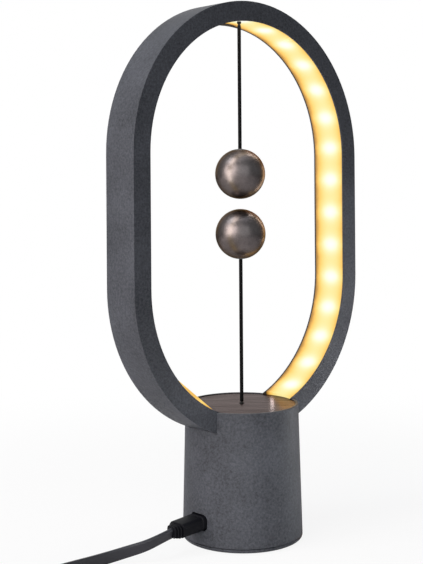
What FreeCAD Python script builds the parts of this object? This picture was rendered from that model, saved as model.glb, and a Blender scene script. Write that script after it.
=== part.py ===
import FreeCAD, Part

import math
import os
import re

import Sketcher

# A balance lamp: a weighted round base carries an upright, light-filled ring with straight sides. One
# magnetic ball hangs on a cord from the top of the ring. A second ball stands on a cord that runs down
# through the base's top plate to a pull switch. Lifted near the hanging ball, it is held up by the magnets,
# pulls the switch and lights the ring. Millimetres, +Z up, the ring in the XZ plane, its front towards -Y,
# the origin on the table under the middle of the base.

SIZES = {
    # Base housing, a drafted cup that stands mouth down
    "base_top_radius": 27.0,
    "base_draft": 1.6,
    "base_height": 63.4,
    "base_wall": 2.2,
    "base_edge_round": 1.6,
    "rim_wall": 1.2,
    "rim_bevel": 0.25,
    "deck_thickness": 2.0,
    "plate_thickness": 1.6,
    "plate_recess": 0.3,
    "cord_hole_radius": 1.4,
    "lip_height": 2.0,
    "lip_inset": 4.3,
    "lip_slope": 2.8,
    # Bottom cover, its pad and what stands on it
    "edge_clearance": 0.2,
    "seam_height": 2.0,
    "seam_gap": 0.35,
    "seam_bevel": 0.3,
    "pad_inset": 7.2,
    "pad_thickness": 0.8,
    "cover_floor": 2.6,
    "spigot_height": 3.0,
    "spigot_wall": 1.6,
    "spigot_bead": 0.5,
    "weight_inset": 1.4,
    "weight_thickness": 4.8,
    "board_inset": 2.3,
    "board_thickness": 1.2,
    "board_air": 0.9,
    "board_post_radius": 2.2,
    "board_tongue": 6.0,
    # Ring of light: an outline with two straight sides and two half-round ends
    "ring_outer_radius": 72.4,
    "ring_band": 9.35,
    "ring_depth": 19.7,
    "ring_half_straight": 30.0,
    "ring_sink": 13.9,
    "ring_face_wall": 1.5,
    "ring_lip": 0.65,
    "ring_outer_wall": 1.6,
    "ring_end": 12.5,
    "ring_foot_length": 4.0,
    "ring_foot_depth": 7.0,
    "ledge_thickness": 0.8,
    "ledge_depth": 1.0,
    "cover_rib": 2.0,
    "diffuser_thickness": 1.5,
    "diffuser_recess": 1.1,
    "diffuser_end": 26.2,
    "diffuser_lift": 21.8,
    "diffuser_lift_angle": 66.5,
    "diffuser_flat_angle": 38.5,
    "led_strip_width": 8.0,
    "led_strip_thickness": 0.25,
    "led_strip_end": 18.0,
    "led_pitch": 16.7,
    "led_phase": 4.2,
    "led_size": 5.0,
    "led_height": 1.5,
    "led_margin": 7.0,
    # Saddle that carries the ring's two ends inside the base
    "saddle_thickness": 2.5,
    "saddle_width": 9.5,
    "saddle_seat": 0.1,
    "post_radius": 2.4,
    "post_inset": 3.87,
    "post_angle": 56.7,
    "rod_hole_radius": 2.2,
    "lead_hole_x": 8.5,
    "lead_hole_y": 8.6,
    "lead_hole_radius": 1.6,
    # Pull switch
    "bracket_sheet": 1.5,
    "bracket_height": 22.8,
    "bracket_left": 9.0,
    "bracket_right": 19.0,
    "bracket_front": 6.5,
    "flange_front": 2.7,
    "bracket_web": 5.2,
    "bracket_foot": 6.0,
    "rod_radius": 1.5,
    "rod_clearance": 0.08,
    "rod_rise": 0.3,
    "rod_tail": 1.5,
    "collar_radius": 4.6,
    "collar_thickness": 1.5,
    "collar_drop": 12.3,
    "pull_travel": 3.0,
    "spring_radius": 2.6,
    "spring_wire": 0.3,
    "spring_turns": 6.0,
    "switch_length": 12.8,
    "switch_height": 6.5,
    "switch_depth": 5.8,
    "switch_left": 5.2,
    "switch_rise": 2.0,
    "switch_hole_pitch": 6.5,
    "lever_gap": 0.3,
    "lever_thickness": 0.4,
    "lever_width": 3.6,
    "lever_tip": 3.6,
    "lever_pivot_x": 16.9,
    "lever_pin_radius": 0.5,
    "button_radius": 0.7,
    "button_x": 9.0,
    # Balls, magnets and their cords
    "ball_radius": 12.0,
    "upper_ball_drop": 9.0,
    "ball_gap": 4.8,
    "magnet_radius": 4.0,
    "magnet_length": 8.0,
    "magnet_cover": 1.9,
    "ball_cord_radius": 0.88,
    "cord_fit": 0.05,
    "upper_knot_radius": 1.05,
    "upper_knot_drop": 0.55,
    "lower_knot_radius": 1.0,
    "lower_knot_sink": 0.1,
    "knot_gap": 0.05,
    "anchor_radius": 1.2,
    "anchor_head_radius": 2.4,
    "anchor_head": 1.5,
    # Screws
    "screw_radius": 1.0,
    "screw_head_radius": 1.9,
    "screw_head": 1.2,
    "screw_bite": 5.0,
    # USB socket in the base, and the plug of the lead
    "socket_width": 7.8,
    "socket_height": 2.8,
    "socket_length": 5.8,
    "socket_wall": 0.4,
    "socket_inset": 3.5,
    "socket_opening_width": 11.2,
    "socket_opening_height": 7.6,
    "socket_opening_rise": 0.6,
    "plug_width": 10.0,
    "plug_height": 6.6,
    "plug_rear_height": 5.5,
    "plug_rise": 0.7,
    "plug_droop": 0.75,
    "plug_round": 2.2,
    "plug_length": 15.5,
    "plug_shell_gap": 0.075,
    "plug_shell_wall": 0.25,
    "plug_shell_length": 5.7,
    "relief_length": 3.4,
    "relief_rib": 0.55,
    "relief_step": 1.5,
    # Flat USB lead, standing on edge
    "lead_width": 5.4,
    "lead_thickness": 1.8,
    "coil_inner_turn": 28.4,
    "coil_turn_pitch": 1.95,
    "coil_turns": 4.125,
    "tail_radius": 16.3,
    "far_plug_width": 15.0,
    "far_plug_height": 7.4,
    "far_plug_length": 14.5,
    "far_shell_width": 12.0,
    "far_shell_height": 4.5,
    "far_shell_length": 11.5,
    # Leads inside the base
    "inner_lead_radius": 0.8,
    "lead_plug_height": 4.4,
    "ring_lead_y": 14.0,
    "switch_lead_x": 16.3,
    # Clearance between moulded parts that are fitted together
    "fit": 0.1,
    "curved_fit": 0.2,
}

# Values that follow from the sizes, written once as formulas.
DERIVED = {
    "base_foot_radius": "(base_top_radius + base_draft)",
    "low_arc": "(base_height - ring_sink + ring_outer_radius)",
    "high_arc": "(low_arc + 2 * ring_half_straight)",
    "half_depth": "(ring_depth / 2)",
    "wall_face": "(ring_depth / 2 - ring_face_wall)",
    "ring_inner_radius": "(ring_outer_radius - ring_band)",
    "channel_radius": "(ring_outer_radius - ring_outer_wall)",
    "diffuser_inner": "(ring_outer_radius - ring_band + diffuser_recess)",
    "diffuser_outer": "(diffuser_inner + diffuser_thickness)",
    "ledge_inner": "(diffuser_outer + curved_fit)",
    "ledge_outer": "(ledge_inner + ledge_thickness)",
    "strip_outer": "(channel_radius - curved_fit)",
    "strip_inner": "(strip_outer - led_strip_thickness)",
    "plate_top": "(base_height - plate_recess)",
    "plate_bottom": "(plate_top - plate_thickness)",
    "deck_bottom": "(plate_bottom - deck_thickness)",
    "plate_radius": "(base_top_radius - rim_wall - fit)",
    "inner_top_radius": "(base_top_radius - base_wall)",
    "inner_foot_radius": "(base_foot_radius - base_wall)",
    "lip_radius": "(base_foot_radius - lip_inset)",
    "pad_radius": "(base_foot_radius - pad_inset)",
    "weight_radius": "(spigot_radius - spigot_wall - weight_inset)",
    "board_radius": "(spigot_radius - spigot_wall - board_inset)",
    "board_post_circle": "(board_radius * 0.42)",
    "socket_mouth": "(base_foot_radius - socket_inset)",
    "edge_centre_x": "(base_foot_radius - base_edge_round)",
    "edge_centre_z": "(base_edge_round + edge_clearance)",
    "shell_seam": "(seam_height + seam_gap)",
    "lip_top": "(shell_seam + lip_height)",
    "recess_top": "(pad_thickness)",
    "cover_top": "(recess_top + cover_floor)",
    "spigot_radius": "(lip_radius - fit * 2)",
    "weight_top": "(cover_top + weight_thickness)",
    "board_bottom": "(weight_top + board_air)",
    "board_top": "(board_bottom + board_thickness)",
    "usb_height": "(board_top + socket_height / 2)",
    "ring_bottom": "(low_arc - ring_outer_radius)",
    "saddle_top": "(ring_bottom - 0.5)",
    "saddle_bottom": "(saddle_top - saddle_thickness)",
    "saddle_radius": "(inner_top_radius - 0.25)",
    "saddle_length": "(saddle_radius - 1)",
    "post_x": "((inner_top_radius - post_inset) * cos(post_angle))",
    "post_y": "((inner_top_radius - post_inset) * sin(post_angle))",
    "rod_top": "(saddle_top + rod_rise)",
    "collar_top": "(saddle_bottom - collar_drop)",
    "switch_bottom": "(collar_top + switch_rise)",
    "foot_x": "(ring_end + ring_foot_length / 2)",
    "foot_y": "(ring_foot_depth / 2 - wall_face)",
    "bracket_bottom": "(saddle_bottom - bracket_height)",
    "flange_bottom": "(saddle_bottom - bracket_sheet)",
    "rod_bottom": "(bracket_bottom - rod_tail)",
    "lever_bottom": "(collar_top + lever_gap)",
    "lever_top": "(lever_bottom + lever_thickness)",
    "pivot_height": "(lever_top + lever_pin_radius)",
    "upper_ball_centre": "(high_arc - upper_ball_drop)",
    "lower_ball_centre": "(upper_ball_centre - 2 * ball_radius - ball_gap)",
    "magnet_face": "(ball_radius - magnet_cover)",
    "upper_pivot": "(high_arc + diffuser_inner - upper_knot_drop)",
    "lower_pivot": "(plate_top - lower_knot_sink)",
    "plug_front": "(0 - socket_mouth - 0.5)",
    "plug_rear": "(plug_front - plug_length)",
    "lead_exit": "(plug_rear - relief_length)",
    "rear_height": "(usb_height - plug_droop)",
    "lead_height": "(lead_width / 2 + 0.05)",
    "coil_outer_turn": "(coil_inner_turn + coil_turns * coil_turn_pitch)",
}

doc = FreeCAD.newDocument("BalanceLamp")
sheet = doc.addObject("Spreadsheet::Sheet", "Sizes")
for row, (size_name, size_value) in enumerate(SIZES.items(), start=1):
    sheet.set(f"A{row}", size_name)
    sheet.set(f"B{row}", str(size_value))
    sheet.setAlias(f"B{row}", size_name)
doc.recompute()

NODES = []

# The lead's last stretch turns through an angle at a number of corners.
TAIL_BEND = 135.0
TAIL_CORNERS = 9


def formula(text):
    """The text with each derived name written out and each size read from the sheet."""
    known = re.compile(r"[a-z][a-z0-9_]*")
    while any(word in DERIVED for word in known.findall(text)):
        text = known.sub(lambda word: DERIVED.get(word.group(), word.group()), text)
    return known.sub(lambda word: f"Sizes.{word.group()}" if word.group() in SIZES else word.group(), text)


def number(text):
    """The present value of a formula."""
    return float(sheet.evalExpression(formula(text)))


def bind(item, **formulas):
    """Binds properties to formulas; two underscores in a name stand for a dot."""
    for name, text in formulas.items():
        item.setExpression(name.replace("__", "."), formula(text))
    return item


def node(item, label):
    """Names an object as a finished piece of the lamp."""
    item.Label = label
    NODES.append(item)
    return item


# ---- Part primitives and booleans, bound to the sheet ----


def place(item, x, y, z):
    return bind(item, Placement__Base__x=x, Placement__Base__y=y, Placement__Base__z=z)


def box(x, y, z):
    """A box between a low and a high formula along each axis."""
    item = doc.addObject("Part::Box", "Block")
    lengths = [f"({high}) - ({low})" for low, high in (x, y, z)]
    bind(item, Length=lengths[0], Width=lengths[1], Height=lengths[2])
    return place(item, x[0], y[0], z[0])


def cylinder(radius, low, high, at=("0", "0"), axis="Z"):
    """A cylinder from low to high along an axis, at two formulas across it, in X, Y, Z order."""
    item = doc.addObject("Part::Cylinder", "Round")
    bind(item, Radius=radius, Height=f"({high}) - ({low})")
    if axis == "X":
        item.Placement.Rotation = FreeCAD.Rotation(FreeCAD.Vector(0, 1, 0), 90)
        return place(item, low, at[0], at[1])
    if axis == "Y":
        item.Placement.Rotation = FreeCAD.Rotation(FreeCAD.Vector(1, 0, 0), -90)
        return place(item, at[0], low, at[1])
    return place(item, at[0], at[1], low)


def sphere(radius, height):
    item = bind(doc.addObject("Part::Sphere", "Ball"), Radius=radius)
    return place(item, "0", "0", height)


def fuse(*pieces):
    item = doc.addObject("Part::MultiFuse", "Joined")
    item.Shapes = list(pieces)
    item.Refine = True
    return item


def cut(base, *tools):
    item = doc.addObject("Part::Cut", "Trimmed")
    item.Base = base
    item.Tool = tools[0] if len(tools) == 1 else fuse(*tools)
    item.Refine = True
    return item


def common(*pieces):
    item = doc.addObject("Part::MultiCommon", "Shared")
    item.Shapes = list(pieces)
    return item


def group(*pieces):
    """Separate solids that share one node."""
    item = doc.addObject("Part::Compound", "Group")
    item.Links = list(pieces)
    return item


def free_shape(label, shape):
    """A piece whose form no primitive or sketch gives."""
    item = doc.addObject("Part::Feature", "Form")
    item.Shape = shape
    item.Placement = shape.Placement
    return node(item, label)


# ---- PartDesign bodies with fully bound sketches ----


def new_body(label):
    return node(doc.addObject("PartDesign::Body", "Body"), label)


def sketch_on(body, plane, offset="0"):
    """A sketch on one of the body's own origin planes, moved along that plane's normal."""
    sketch = body.newObject("Sketcher::SketchObject", "Sketch")
    origin_plane = next(p for p in body.Origin.OriginFeatures if p.Role == plane)
    sketch.AttachmentSupport = [(origin_plane, "")]
    sketch.MapMode = "FlatFace"
    bind(sketch, AttachmentOffset__Base__z=offset)
    return sketch


def constrain(sketch, kind, *places, value):
    index = sketch.addConstraint(Sketcher.Constraint(kind, *places, number(value)))
    sketch.setExpression(f"Constraints[{index}]", formula(value))


def pin_down(sketch, geometry, vertex, x, y):
    """Holds a point of the sketch at two formulas."""
    if x == "0":
        sketch.addConstraint(Sketcher.Constraint("PointOnObject", geometry, vertex, -2))
    else:
        constrain(sketch, "DistanceX", -1, 1, geometry, vertex, value=x)
    if y == "0":
        sketch.addConstraint(Sketcher.Constraint("PointOnObject", geometry, vertex, -1))
    else:
        constrain(sketch, "DistanceY", -1, 1, geometry, vertex, value=y)


def arc_between(start, end, centre, turn):
    """The arc from start to end about centre, turn 1 for anticlockwise and -1 for clockwise."""
    first, last = (start, end) if turn > 0 else (end, start)
    angles = [math.atan2(p[1] - centre[1], p[0] - centre[0]) for p in (first, last)]
    if angles[1] <= angles[0]:
        angles[1] += 2 * math.pi
    circle = Part.Circle(FreeCAD.Vector(*centre, 0), FreeCAD.Vector(0, 0, 1), math.dist(start, centre))
    return Part.ArcOfCircle(circle, *angles)


def outline(sketch, corners):
    """A closed outline. A corner is (x, y), or (x, y, (centre x, centre y), turn) before an arc."""
    points = [(number(corner[0]), number(corner[1])) for corner in corners]
    edges = []
    for i, corner in enumerate(corners):
        start, end = points[i], points[(i + 1) % len(points)]
        if len(corner) == 2:
            segment = Part.LineSegment(FreeCAD.Vector(*start, 0), FreeCAD.Vector(*end, 0))
            edges.append((sketch.addGeometry(segment), 1, 2))
            continue
        centre = (number(corner[2][0]), number(corner[2][1]))
        arc = sketch.addGeometry(arc_between(start, end, centre, corner[3]))
        edges.append((arc, 1, 2) if corner[3] > 0 else (arc, 2, 1))
    for i, (edge, start, end) in enumerate(edges):
        following = edges[(i + 1) % len(edges)]
        sketch.addConstraint(Sketcher.Constraint("Coincident", edge, end, following[0], following[1]))
        pin_down(sketch, edge, start, *corners[i][:2])
        if len(corners[i]) > 2:
            # Its two ends leave an arc's centre free along one line only, so one coordinate settles it.
            (x1, y1), (x2, y2) = points[i], points[(i + 1) % len(points)]
            centre_x, centre_y = corners[i][2]
            if abs(x2 - x1) > abs(y2 - y1):
                constrain(sketch, "DistanceY", -1, 1, edge, 3, value=centre_y)
            elif centre_x == "0":
                sketch.addConstraint(Sketcher.Constraint("PointOnObject", edge, 3, -2))
            else:
                constrain(sketch, "DistanceX", -1, 1, edge, 3, value=centre_x)


def rectangle(sketch, low_x, high_x, low_y, high_y):
    outline(sketch, [(low_x, low_y), (high_x, low_y), (high_x, high_y), (low_x, high_y)])


def rounded_rectangle(sketch, half_width, half_height, rounding, centre_y="0"):
    """A rectangle with round corners about a point of the sketch's vertical axis."""
    x, y, r = f"({half_width})", f"({half_height})", f"({rounding})"
    inner_x, left_x = f"{x} - {r}", f"{r} - {x}"
    low, high = f"{centre_y} - {y}", f"{centre_y} + {y}"
    inner_low, inner_high = f"{centre_y} - {y} + {r}", f"{centre_y} + {y} - {r}"
    outline(
        sketch,
        [
            (left_x, low),
            (inner_x, low, (inner_x, inner_low), 1),
            (x, inner_low),
            (x, inner_high, (inner_x, inner_high), 1),
            (inner_x, high),
            (left_x, high, (left_x, inner_high), 1),
            (f"0 - {x}", inner_high),
            (f"0 - {x}", inner_low, (left_x, inner_low), 1),
        ],
    )


def circle(sketch, radius, x="0", y="0"):
    centre = FreeCAD.Vector(number(x), number(y), 0)
    shape = sketch.addGeometry(Part.Circle(centre, FreeCAD.Vector(0, 0, 1), number(radius)))
    pin_down(sketch, shape, 3, x, y)
    constrain(sketch, "Radius", shape, value=radius)


def revolve(body, corners):
    """Turns an outline in the XZ plane about the body's Z axis."""
    sketch = sketch_on(body, "XZ_Plane")
    outline(sketch, corners)
    turned = body.newObject("PartDesign::Revolution", "Turned")
    turned.Profile = sketch
    turned.ReferenceAxis = (sketch, ["V_Axis"])
    turned.Angle = 360.0
    return turned


def pad(body, sketch, length):
    item = body.newObject("PartDesign::Pad", "Pad")
    item.Profile = sketch
    return bind(item, Length=length)


def pad_across(body, low, high, draw):
    """Pads what draw() puts on an XZ sketch from y = low to y = high; that plane's normal is -Y."""
    sketch = sketch_on(body, "XZ_Plane", f"0 - ({high})")
    draw(sketch)
    return pad(body, sketch, f"({high}) - ({low})")


def pad_up(body, low, high, draw):
    """Pads what draw() puts on an XY sketch from z = low to z = high."""
    sketch = sketch_on(body, "XY_Plane", low)
    draw(sketch)
    return pad(body, sketch, f"({high}) - ({low})")


def pocket(body, sketch, length, reverse=False):
    """Cuts against the sketch's normal, or along it if reversed, and makes sure that it cuts."""
    doc.recompute()
    before = body.Shape.Volume
    item = body.newObject("PartDesign::Pocket", "Pocket")
    item.Profile = sketch
    item.Reversed = reverse
    bind(item, Length=length)
    doc.recompute()
    if not body.Shape.Volume < before:
        raise RuntimeError(f"a pocket of {body.Label} cuts nothing")
    return item


def pattern(body, kind, features, **links):
    """A pattern or mirror of features, which counts once the body's tip is set to it."""
    item = body.newObject(f"PartDesign::{kind}", kind)
    item.Originals = features
    for name, value in links.items():
        setattr(item, name, value)
    body.Tip = item
    return item


# ---- The ring's outline ----


def band(sketch, outer, inner, end, lifted=False):
    """The ring's outline between two radii, open below between x = -end and x = end.

    A lifted band leaves the ring's curve at its lower left: it bends inwards and runs straight to its end."""
    outer, inner, end = f"({outer})", f"({inner})", f"({end})"
    low, high = ("0", "low_arc"), ("0", "high_arc")
    outer_foot = f"low_arc - sqrt({outer}^2 - {end}^2)"
    inner_foot = f"low_arc - sqrt({inner}^2 - {end}^2)"
    corners = [
        (end, inner_foot, low, 1),
        (inner, "low_arc"),
        (inner, "high_arc", high, 1),
        (f"0 - {inner}", "high_arc"),
    ]
    if not lifted:
        corners += [
            (f"0 - {inner}", "low_arc", low, 1),
            (f"0 - {end}", inner_foot),
            (f"0 - {end}", outer_foot, low, -1),
            (f"0 - {outer}", "low_arc"),
        ]
    else:
        sine, cosine = "sin(diffuser_lift_angle)", "cos(diffuser_lift_angle)"
        flat_sine, flat_cosine = "sin(diffuser_flat_angle)", "cos(diffuser_flat_angle)"
        centre_x, centre_z = f"0 - diffuser_lift * {sine}", f"low_arc - diffuser_lift * {cosine}"
        inner_x, inner_z = (
            f"({centre_x} - ({inner} - diffuser_lift) * {flat_sine})",
            f"({centre_z} - ({inner} - diffuser_lift) * {flat_cosine})",
        )
        outer_x, outer_z = (
            f"({centre_x} - ({outer} - diffuser_lift) * {flat_sine})",
            f"({centre_z} - ({outer} - diffuser_lift) * {flat_cosine})",
        )
        slope = f"({flat_sine} / {flat_cosine})"
        corners += [
            (f"0 - {inner}", "low_arc", low, 1),
            (f"0 - {inner} * {sine}", f"low_arc - {inner} * {cosine}", (centre_x, centre_z), 1),
            (inner_x, inner_z),
            (f"0 - {end}", f"{inner_z} + ({end} + {inner_x}) * {slope}"),
            (f"0 - {end}", f"{outer_z} + ({end} + {outer_x}) * {slope}"),
            (outer_x, outer_z, (centre_x, centre_z), -1),
            (f"0 - {outer} * {sine}", f"low_arc - {outer} * {cosine}", low, -1),
            (f"0 - {outer}", "low_arc"),
        ]
    corners += [
        (f"0 - {outer}", "high_arc", high, -1),
        (outer, "high_arc"),
        (outer, "low_arc", low, -1),
        (end, outer_foot),
    ]
    outline(sketch, corners)


def clear_plate(body):
    """Lets the base's top plate pass through the lower ends of a ring shell."""
    sketch = sketch_on(body, "XY_Plane", "plate_top + fit")
    circle(sketch, "plate_radius + fit")
    pocket(body, sketch, "plate_thickness + 2 * fit")


def track(distance, radius):
    """The place and the inward direction at a distance along the ring from its top, clockwise from the front."""
    straight, quarter = 2 * number("ring_half_straight"), radius * math.pi / 2
    side, along = math.copysign(1, distance), abs(distance)
    if along <= quarter:
        angle, centre = along / radius, number("high_arc")
    elif along <= quarter + straight:
        angle, centre = math.pi / 2, number("high_arc") - (along - quarter)
    else:
        angle, centre = (along - straight) / radius, number("low_arc")
    inward = FreeCAD.Vector(-side * math.sin(angle), 0, -math.cos(angle))
    return FreeCAD.Vector(0, 0, centre) - inward * radius, inward


# ---- Base ----


def base_housing():
    body = new_body("base_housing")
    revolve(
        body,
        [
            ("base_foot_radius", "shell_seam"),
            ("base_top_radius", "base_height - rim_bevel"),
            ("base_top_radius - rim_bevel", "base_height"),
            ("base_top_radius - rim_wall", "base_height"),
            ("base_top_radius - rim_wall", "plate_bottom"),
            ("0", "plate_bottom"),
            ("0", "deck_bottom"),
            ("inner_top_radius", "deck_bottom"),
            ("inner_foot_radius", "lip_top + lip_slope"),
            ("lip_radius", "lip_top"),
            ("lip_radius", "shell_seam"),
        ],
    )
    posts = sketch_on(body, "XY_Plane", "saddle_top")
    for x in ("post_x", "0 - post_x"):
        for y in ("post_y", "0 - post_y"):
            circle(posts, "post_radius", x, y)
    pad(body, posts, "plate_bottom - deck_thickness / 2 - saddle_top")
    slot = sketch_on(body, "XZ_Plane", "half_depth + fit")
    circle(slot, "ring_outer_radius + fit", "0", "low_arc")
    pocket(body, slot, "ring_depth + 2 * fit")
    inlet = sketch_on(body, "YZ_Plane", "0 - base_foot_radius - 1")
    half_size = ("socket_opening_width / 2", "socket_opening_height / 2")
    rounded_rectangle(inlet, *half_size, "plug_round + fit * 4", "usb_height + socket_opening_rise")
    pocket(body, inlet, "base_wall * 2 + 1", reverse=True)
    holes = sketch_on(body, "XY_Plane", "saddle_top")
    for x in ("post_x", "0 - post_x"):
        for y in ("post_y", "0 - post_y"):
            circle(holes, "screw_radius", x, y)
    pocket(body, holes, "screw_bite + 1", reverse=True)


def base_top_plate():
    body = new_body("base_top_plate")

    def disc(sketch):
        circle(sketch, "plate_radius")
        circle(sketch, "cord_hole_radius")

    pad_up(body, "plate_bottom", "plate_top", disc)


def bottom_cover():
    """Snaps into the housing's foot and carries the weight and the board."""
    body = new_body("bottom_cover")
    edge = ("edge_centre_x", "edge_centre_z")
    bead = "lip_top + spigot_bead + fit"
    revolve(
        body,
        [
            ("0", "recess_top"),
            ("pad_radius + fit * 3", "recess_top"),
            ("pad_radius + fit * 3", "edge_clearance"),
            ("edge_centre_x", "edge_clearance", edge, 1),
            ("base_foot_radius", "edge_centre_z"),
            ("base_foot_radius", "seam_height - seam_bevel"),
            ("base_foot_radius - seam_bevel", "seam_height"),
            ("spigot_radius", "seam_height"),
            ("spigot_radius", "lip_top + fit"),
            ("spigot_radius + spigot_bead", bead),
            ("spigot_radius", f"{bead} + spigot_bead"),
            ("spigot_radius", "cover_top + spigot_height"),
            ("spigot_radius - spigot_wall", "cover_top + spigot_height"),
            ("spigot_radius - spigot_wall", "cover_top"),
            ("0", "cover_top"),
        ],
    )
    sketch = sketch_on(body, "XY_Plane", "cover_top - cover_floor / 2")
    circle(sketch, "board_post_radius", "board_post_circle")
    post = pad(body, sketch, "board_bottom - cover_top + cover_floor / 2")
    bore = sketch_on(body, "XY_Plane", "board_bottom")
    circle(bore, "screw_radius", "board_post_circle")
    hole = pocket(body, bore, "screw_bite")
    axis = next(a for a in body.Origin.OriginFeatures if a.Role == "Z_Axis")
    pattern(body, "PolarPattern", [post, hole], Axis=(axis, [""]), Angle=360.0, Occurrences=3)


def on_circle(index, radius="board_post_circle"):
    """Two formulas for one of three places round the base's axis."""
    return f"{radius} * cos({120 * index})", f"{radius} * sin({120 * index})"


def weight_and_pad():
    pad_disc = cylinder("pad_radius", "0", "pad_thickness")
    node(pad_disc, "foot_pad")
    disc = cylinder("weight_radius", "cover_top", "weight_top")
    holes = [
        cylinder("board_post_radius + fit * 3", "cover_top - 1", "weight_top + 1", on_circle(i)) for i in range(3)
    ]
    node(cut(disc, *holes), "counterweight")


def control_board():
    """The board, its screws and what is soldered to it, with the USB socket at its left edge."""
    disc = cylinder("board_radius", "board_bottom", "board_top")
    tongue = box(
        ("0 - socket_mouth + 0.6", "0"), ("0 - board_tongue", "board_tongue"), ("board_bottom", "board_top")
    )
    holes = [
        cylinder("screw_radius + fit", "board_bottom - 1", "board_top + 1", on_circle(i)) for i in range(3)
    ]
    node(cut(fuse(disc, tongue), *holes), "control_board")
    driver = box(("0 - 6.5", "0 - 1.5"), ("0 - 2.5", "2.5"), ("board_top", "board_top + 1.6"))
    coil = box(("0 - 14", "0 - 8"), ("5.5", "11.5"), ("board_top", "board_top + 3"))
    capacitor = cylinder("2.5", "board_top", "board_top + 5.5", ("0 - 11", "0 - 9"))
    plug_span = ("board_top", "board_top + lead_plug_height")
    ring_plug = box(
        ("lead_hole_x - 2.5", "lead_hole_x + 2.5"), ("ring_lead_y - 3", "ring_lead_y + 3"), plug_span
    )
    switch_plug = box(("switch_lead_x - 2.3", "switch_lead_x + 2.2"), ("0 - 3", "3"), plug_span)
    parts = [driver, coil, capacitor, ring_plug, switch_plug]
    for step in range(4):
        parts.append(
            box(
                (f"2 + {3 * step}", f"4 + {3 * step}"),
                ("0 - 12", "0 - 10.8"),
                ("board_top", "board_top + 0.6"),
            )
        )
    node(group(*parts), "board_components")
    node(screws([on_circle(i) for i in range(3)], "board_top", "0 - 1"), "board_screws")


def screws(places, seat, direction):
    """Screws with their heads' undersides on a seat; direction is where their shafts point, 1 or 0 - 1."""
    up = direction == "1"
    made = []
    for x_y in places:
        shaft_end = f"{seat} + ({direction}) * (screw_bite - 0.5)"
        head_end = f"{seat} - ({direction}) * screw_head"
        shaft_span = (seat, shaft_end) if up else (shaft_end, seat)
        head_span = (head_end, seat) if up else (seat, head_end)
        shaft = cylinder("screw_radius", *shaft_span, x_y)
        head = cylinder("screw_head_radius", *head_span, x_y)
        made.append(fuse(shaft, head))
    return group(*made)


def usb_socket():
    half, mouth = "socket_width / 2", "0 - socket_mouth"
    can = box(
        (mouth, "socket_length - socket_mouth"),
        (f"0 - {half}", half),
        ("usb_height - socket_height / 2", "usb_height + socket_height / 2"),
    )
    cavity = box(
        (f"{mouth} - 1", f"{mouth} + socket_length - socket_wall"),
        (f"socket_wall - {half}", f"{half} - socket_wall"),
        ("usb_height - socket_height / 2 + socket_wall", "usb_height + socket_height / 2 - socket_wall"),
    )
    tongue = box(
        (f"{mouth} + 0.8", f"{mouth} + socket_length"),
        ("0 - socket_width / 4", "socket_width / 4"),
        ("usb_height - 0.3", "usb_height + 0.3"),
    )
    node(fuse(cut(can, cavity), tongue), "usb_socket")


# ---- Ring ----


def ring_front_shell():
    """The ring's front face and outer wall in one, with a foot for a screw at each of its two ends."""
    body = new_body("ring_front_shell")
    low, step, seat = "0 - half_depth", "ring_lip - half_depth", "0 - wall_face"
    pad_across(body, low, step, lambda s: band(s, "ring_outer_radius", "ring_inner_radius", "ring_end"))
    pad_across(body, step, seat, lambda s: band(s, "ring_outer_radius", "ledge_inner", "ring_end"))
    pad_across(body, seat, "wall_face", lambda s: band(s, "ring_outer_radius", "channel_radius", "ring_end"))
    ledge_end = f"{seat} + ledge_depth"
    pad_across(body, seat, ledge_end, lambda s: band(s, "ledge_outer", "ledge_inner", "ring_end"))

    def feet(sketch):
        middle = "(ring_outer_radius - ring_outer_wall / 2)"
        low_z = f"low_arc - sqrt({middle}^2 - foot_x^2)"
        high_z = "low_arc - sqrt(ledge_inner^2 - ring_end^2) - fit"
        rectangle(sketch, "ring_end", "ring_end + ring_foot_length", low_z, high_z)
        rectangle(sketch, "0 - ring_end - ring_foot_length", "0 - ring_end", low_z, high_z)

    pad_across(body, seat, f"{seat} + ring_foot_depth", feet)
    clear_plate(body)
    holes = sketch_on(body, "XY_Plane", "saddle_bottom")
    for x in ("foot_x", "0 - foot_x"):
        circle(holes, "screw_radius", x, "foot_y")
    pocket(body, holes, "saddle_thickness + screw_bite + 2", reverse=True)


def ring_rear_cover():
    """Closes the ring from behind; a rib enters the outer wall and a ledge backs the diffuser."""
    body = new_body("ring_rear_cover")
    seat, step = "wall_face", "half_depth - ring_lip"
    pad_across(body, step, "half_depth", lambda s: band(s, "ring_outer_radius", "ring_inner_radius", "ring_end"))
    pad_across(body, seat, step, lambda s: band(s, "ring_outer_radius", "ledge_inner", "ring_end"))
    rib = ("channel_radius - curved_fit", "channel_radius - curved_fit - ledge_thickness", "led_strip_end")
    pad_across(body, f"{seat} - cover_rib", seat, lambda s: band(s, *rib))
    pad_across(
        body, f"{seat} - ledge_depth", seat, lambda s: band(s, "ledge_outer", "ledge_inner", "ring_end")
    )
    clear_plate(body)


def ring_diffuser():
    body = new_body("ring_diffuser")
    edge = "half_depth - ring_lip - fit"
    pad_across(
        body,
        f"0 - ({edge})",
        edge,
        lambda s: band(s, "diffuser_outer", "diffuser_inner", "diffuser_end", lifted=True),
    )
    sketch = sketch_on(body, "XY_Plane", "high_arc + diffuser_outer + 1")
    circle(sketch, "anchor_radius + cord_fit")
    pocket(body, sketch, "diffuser_thickness + 2")


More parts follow.
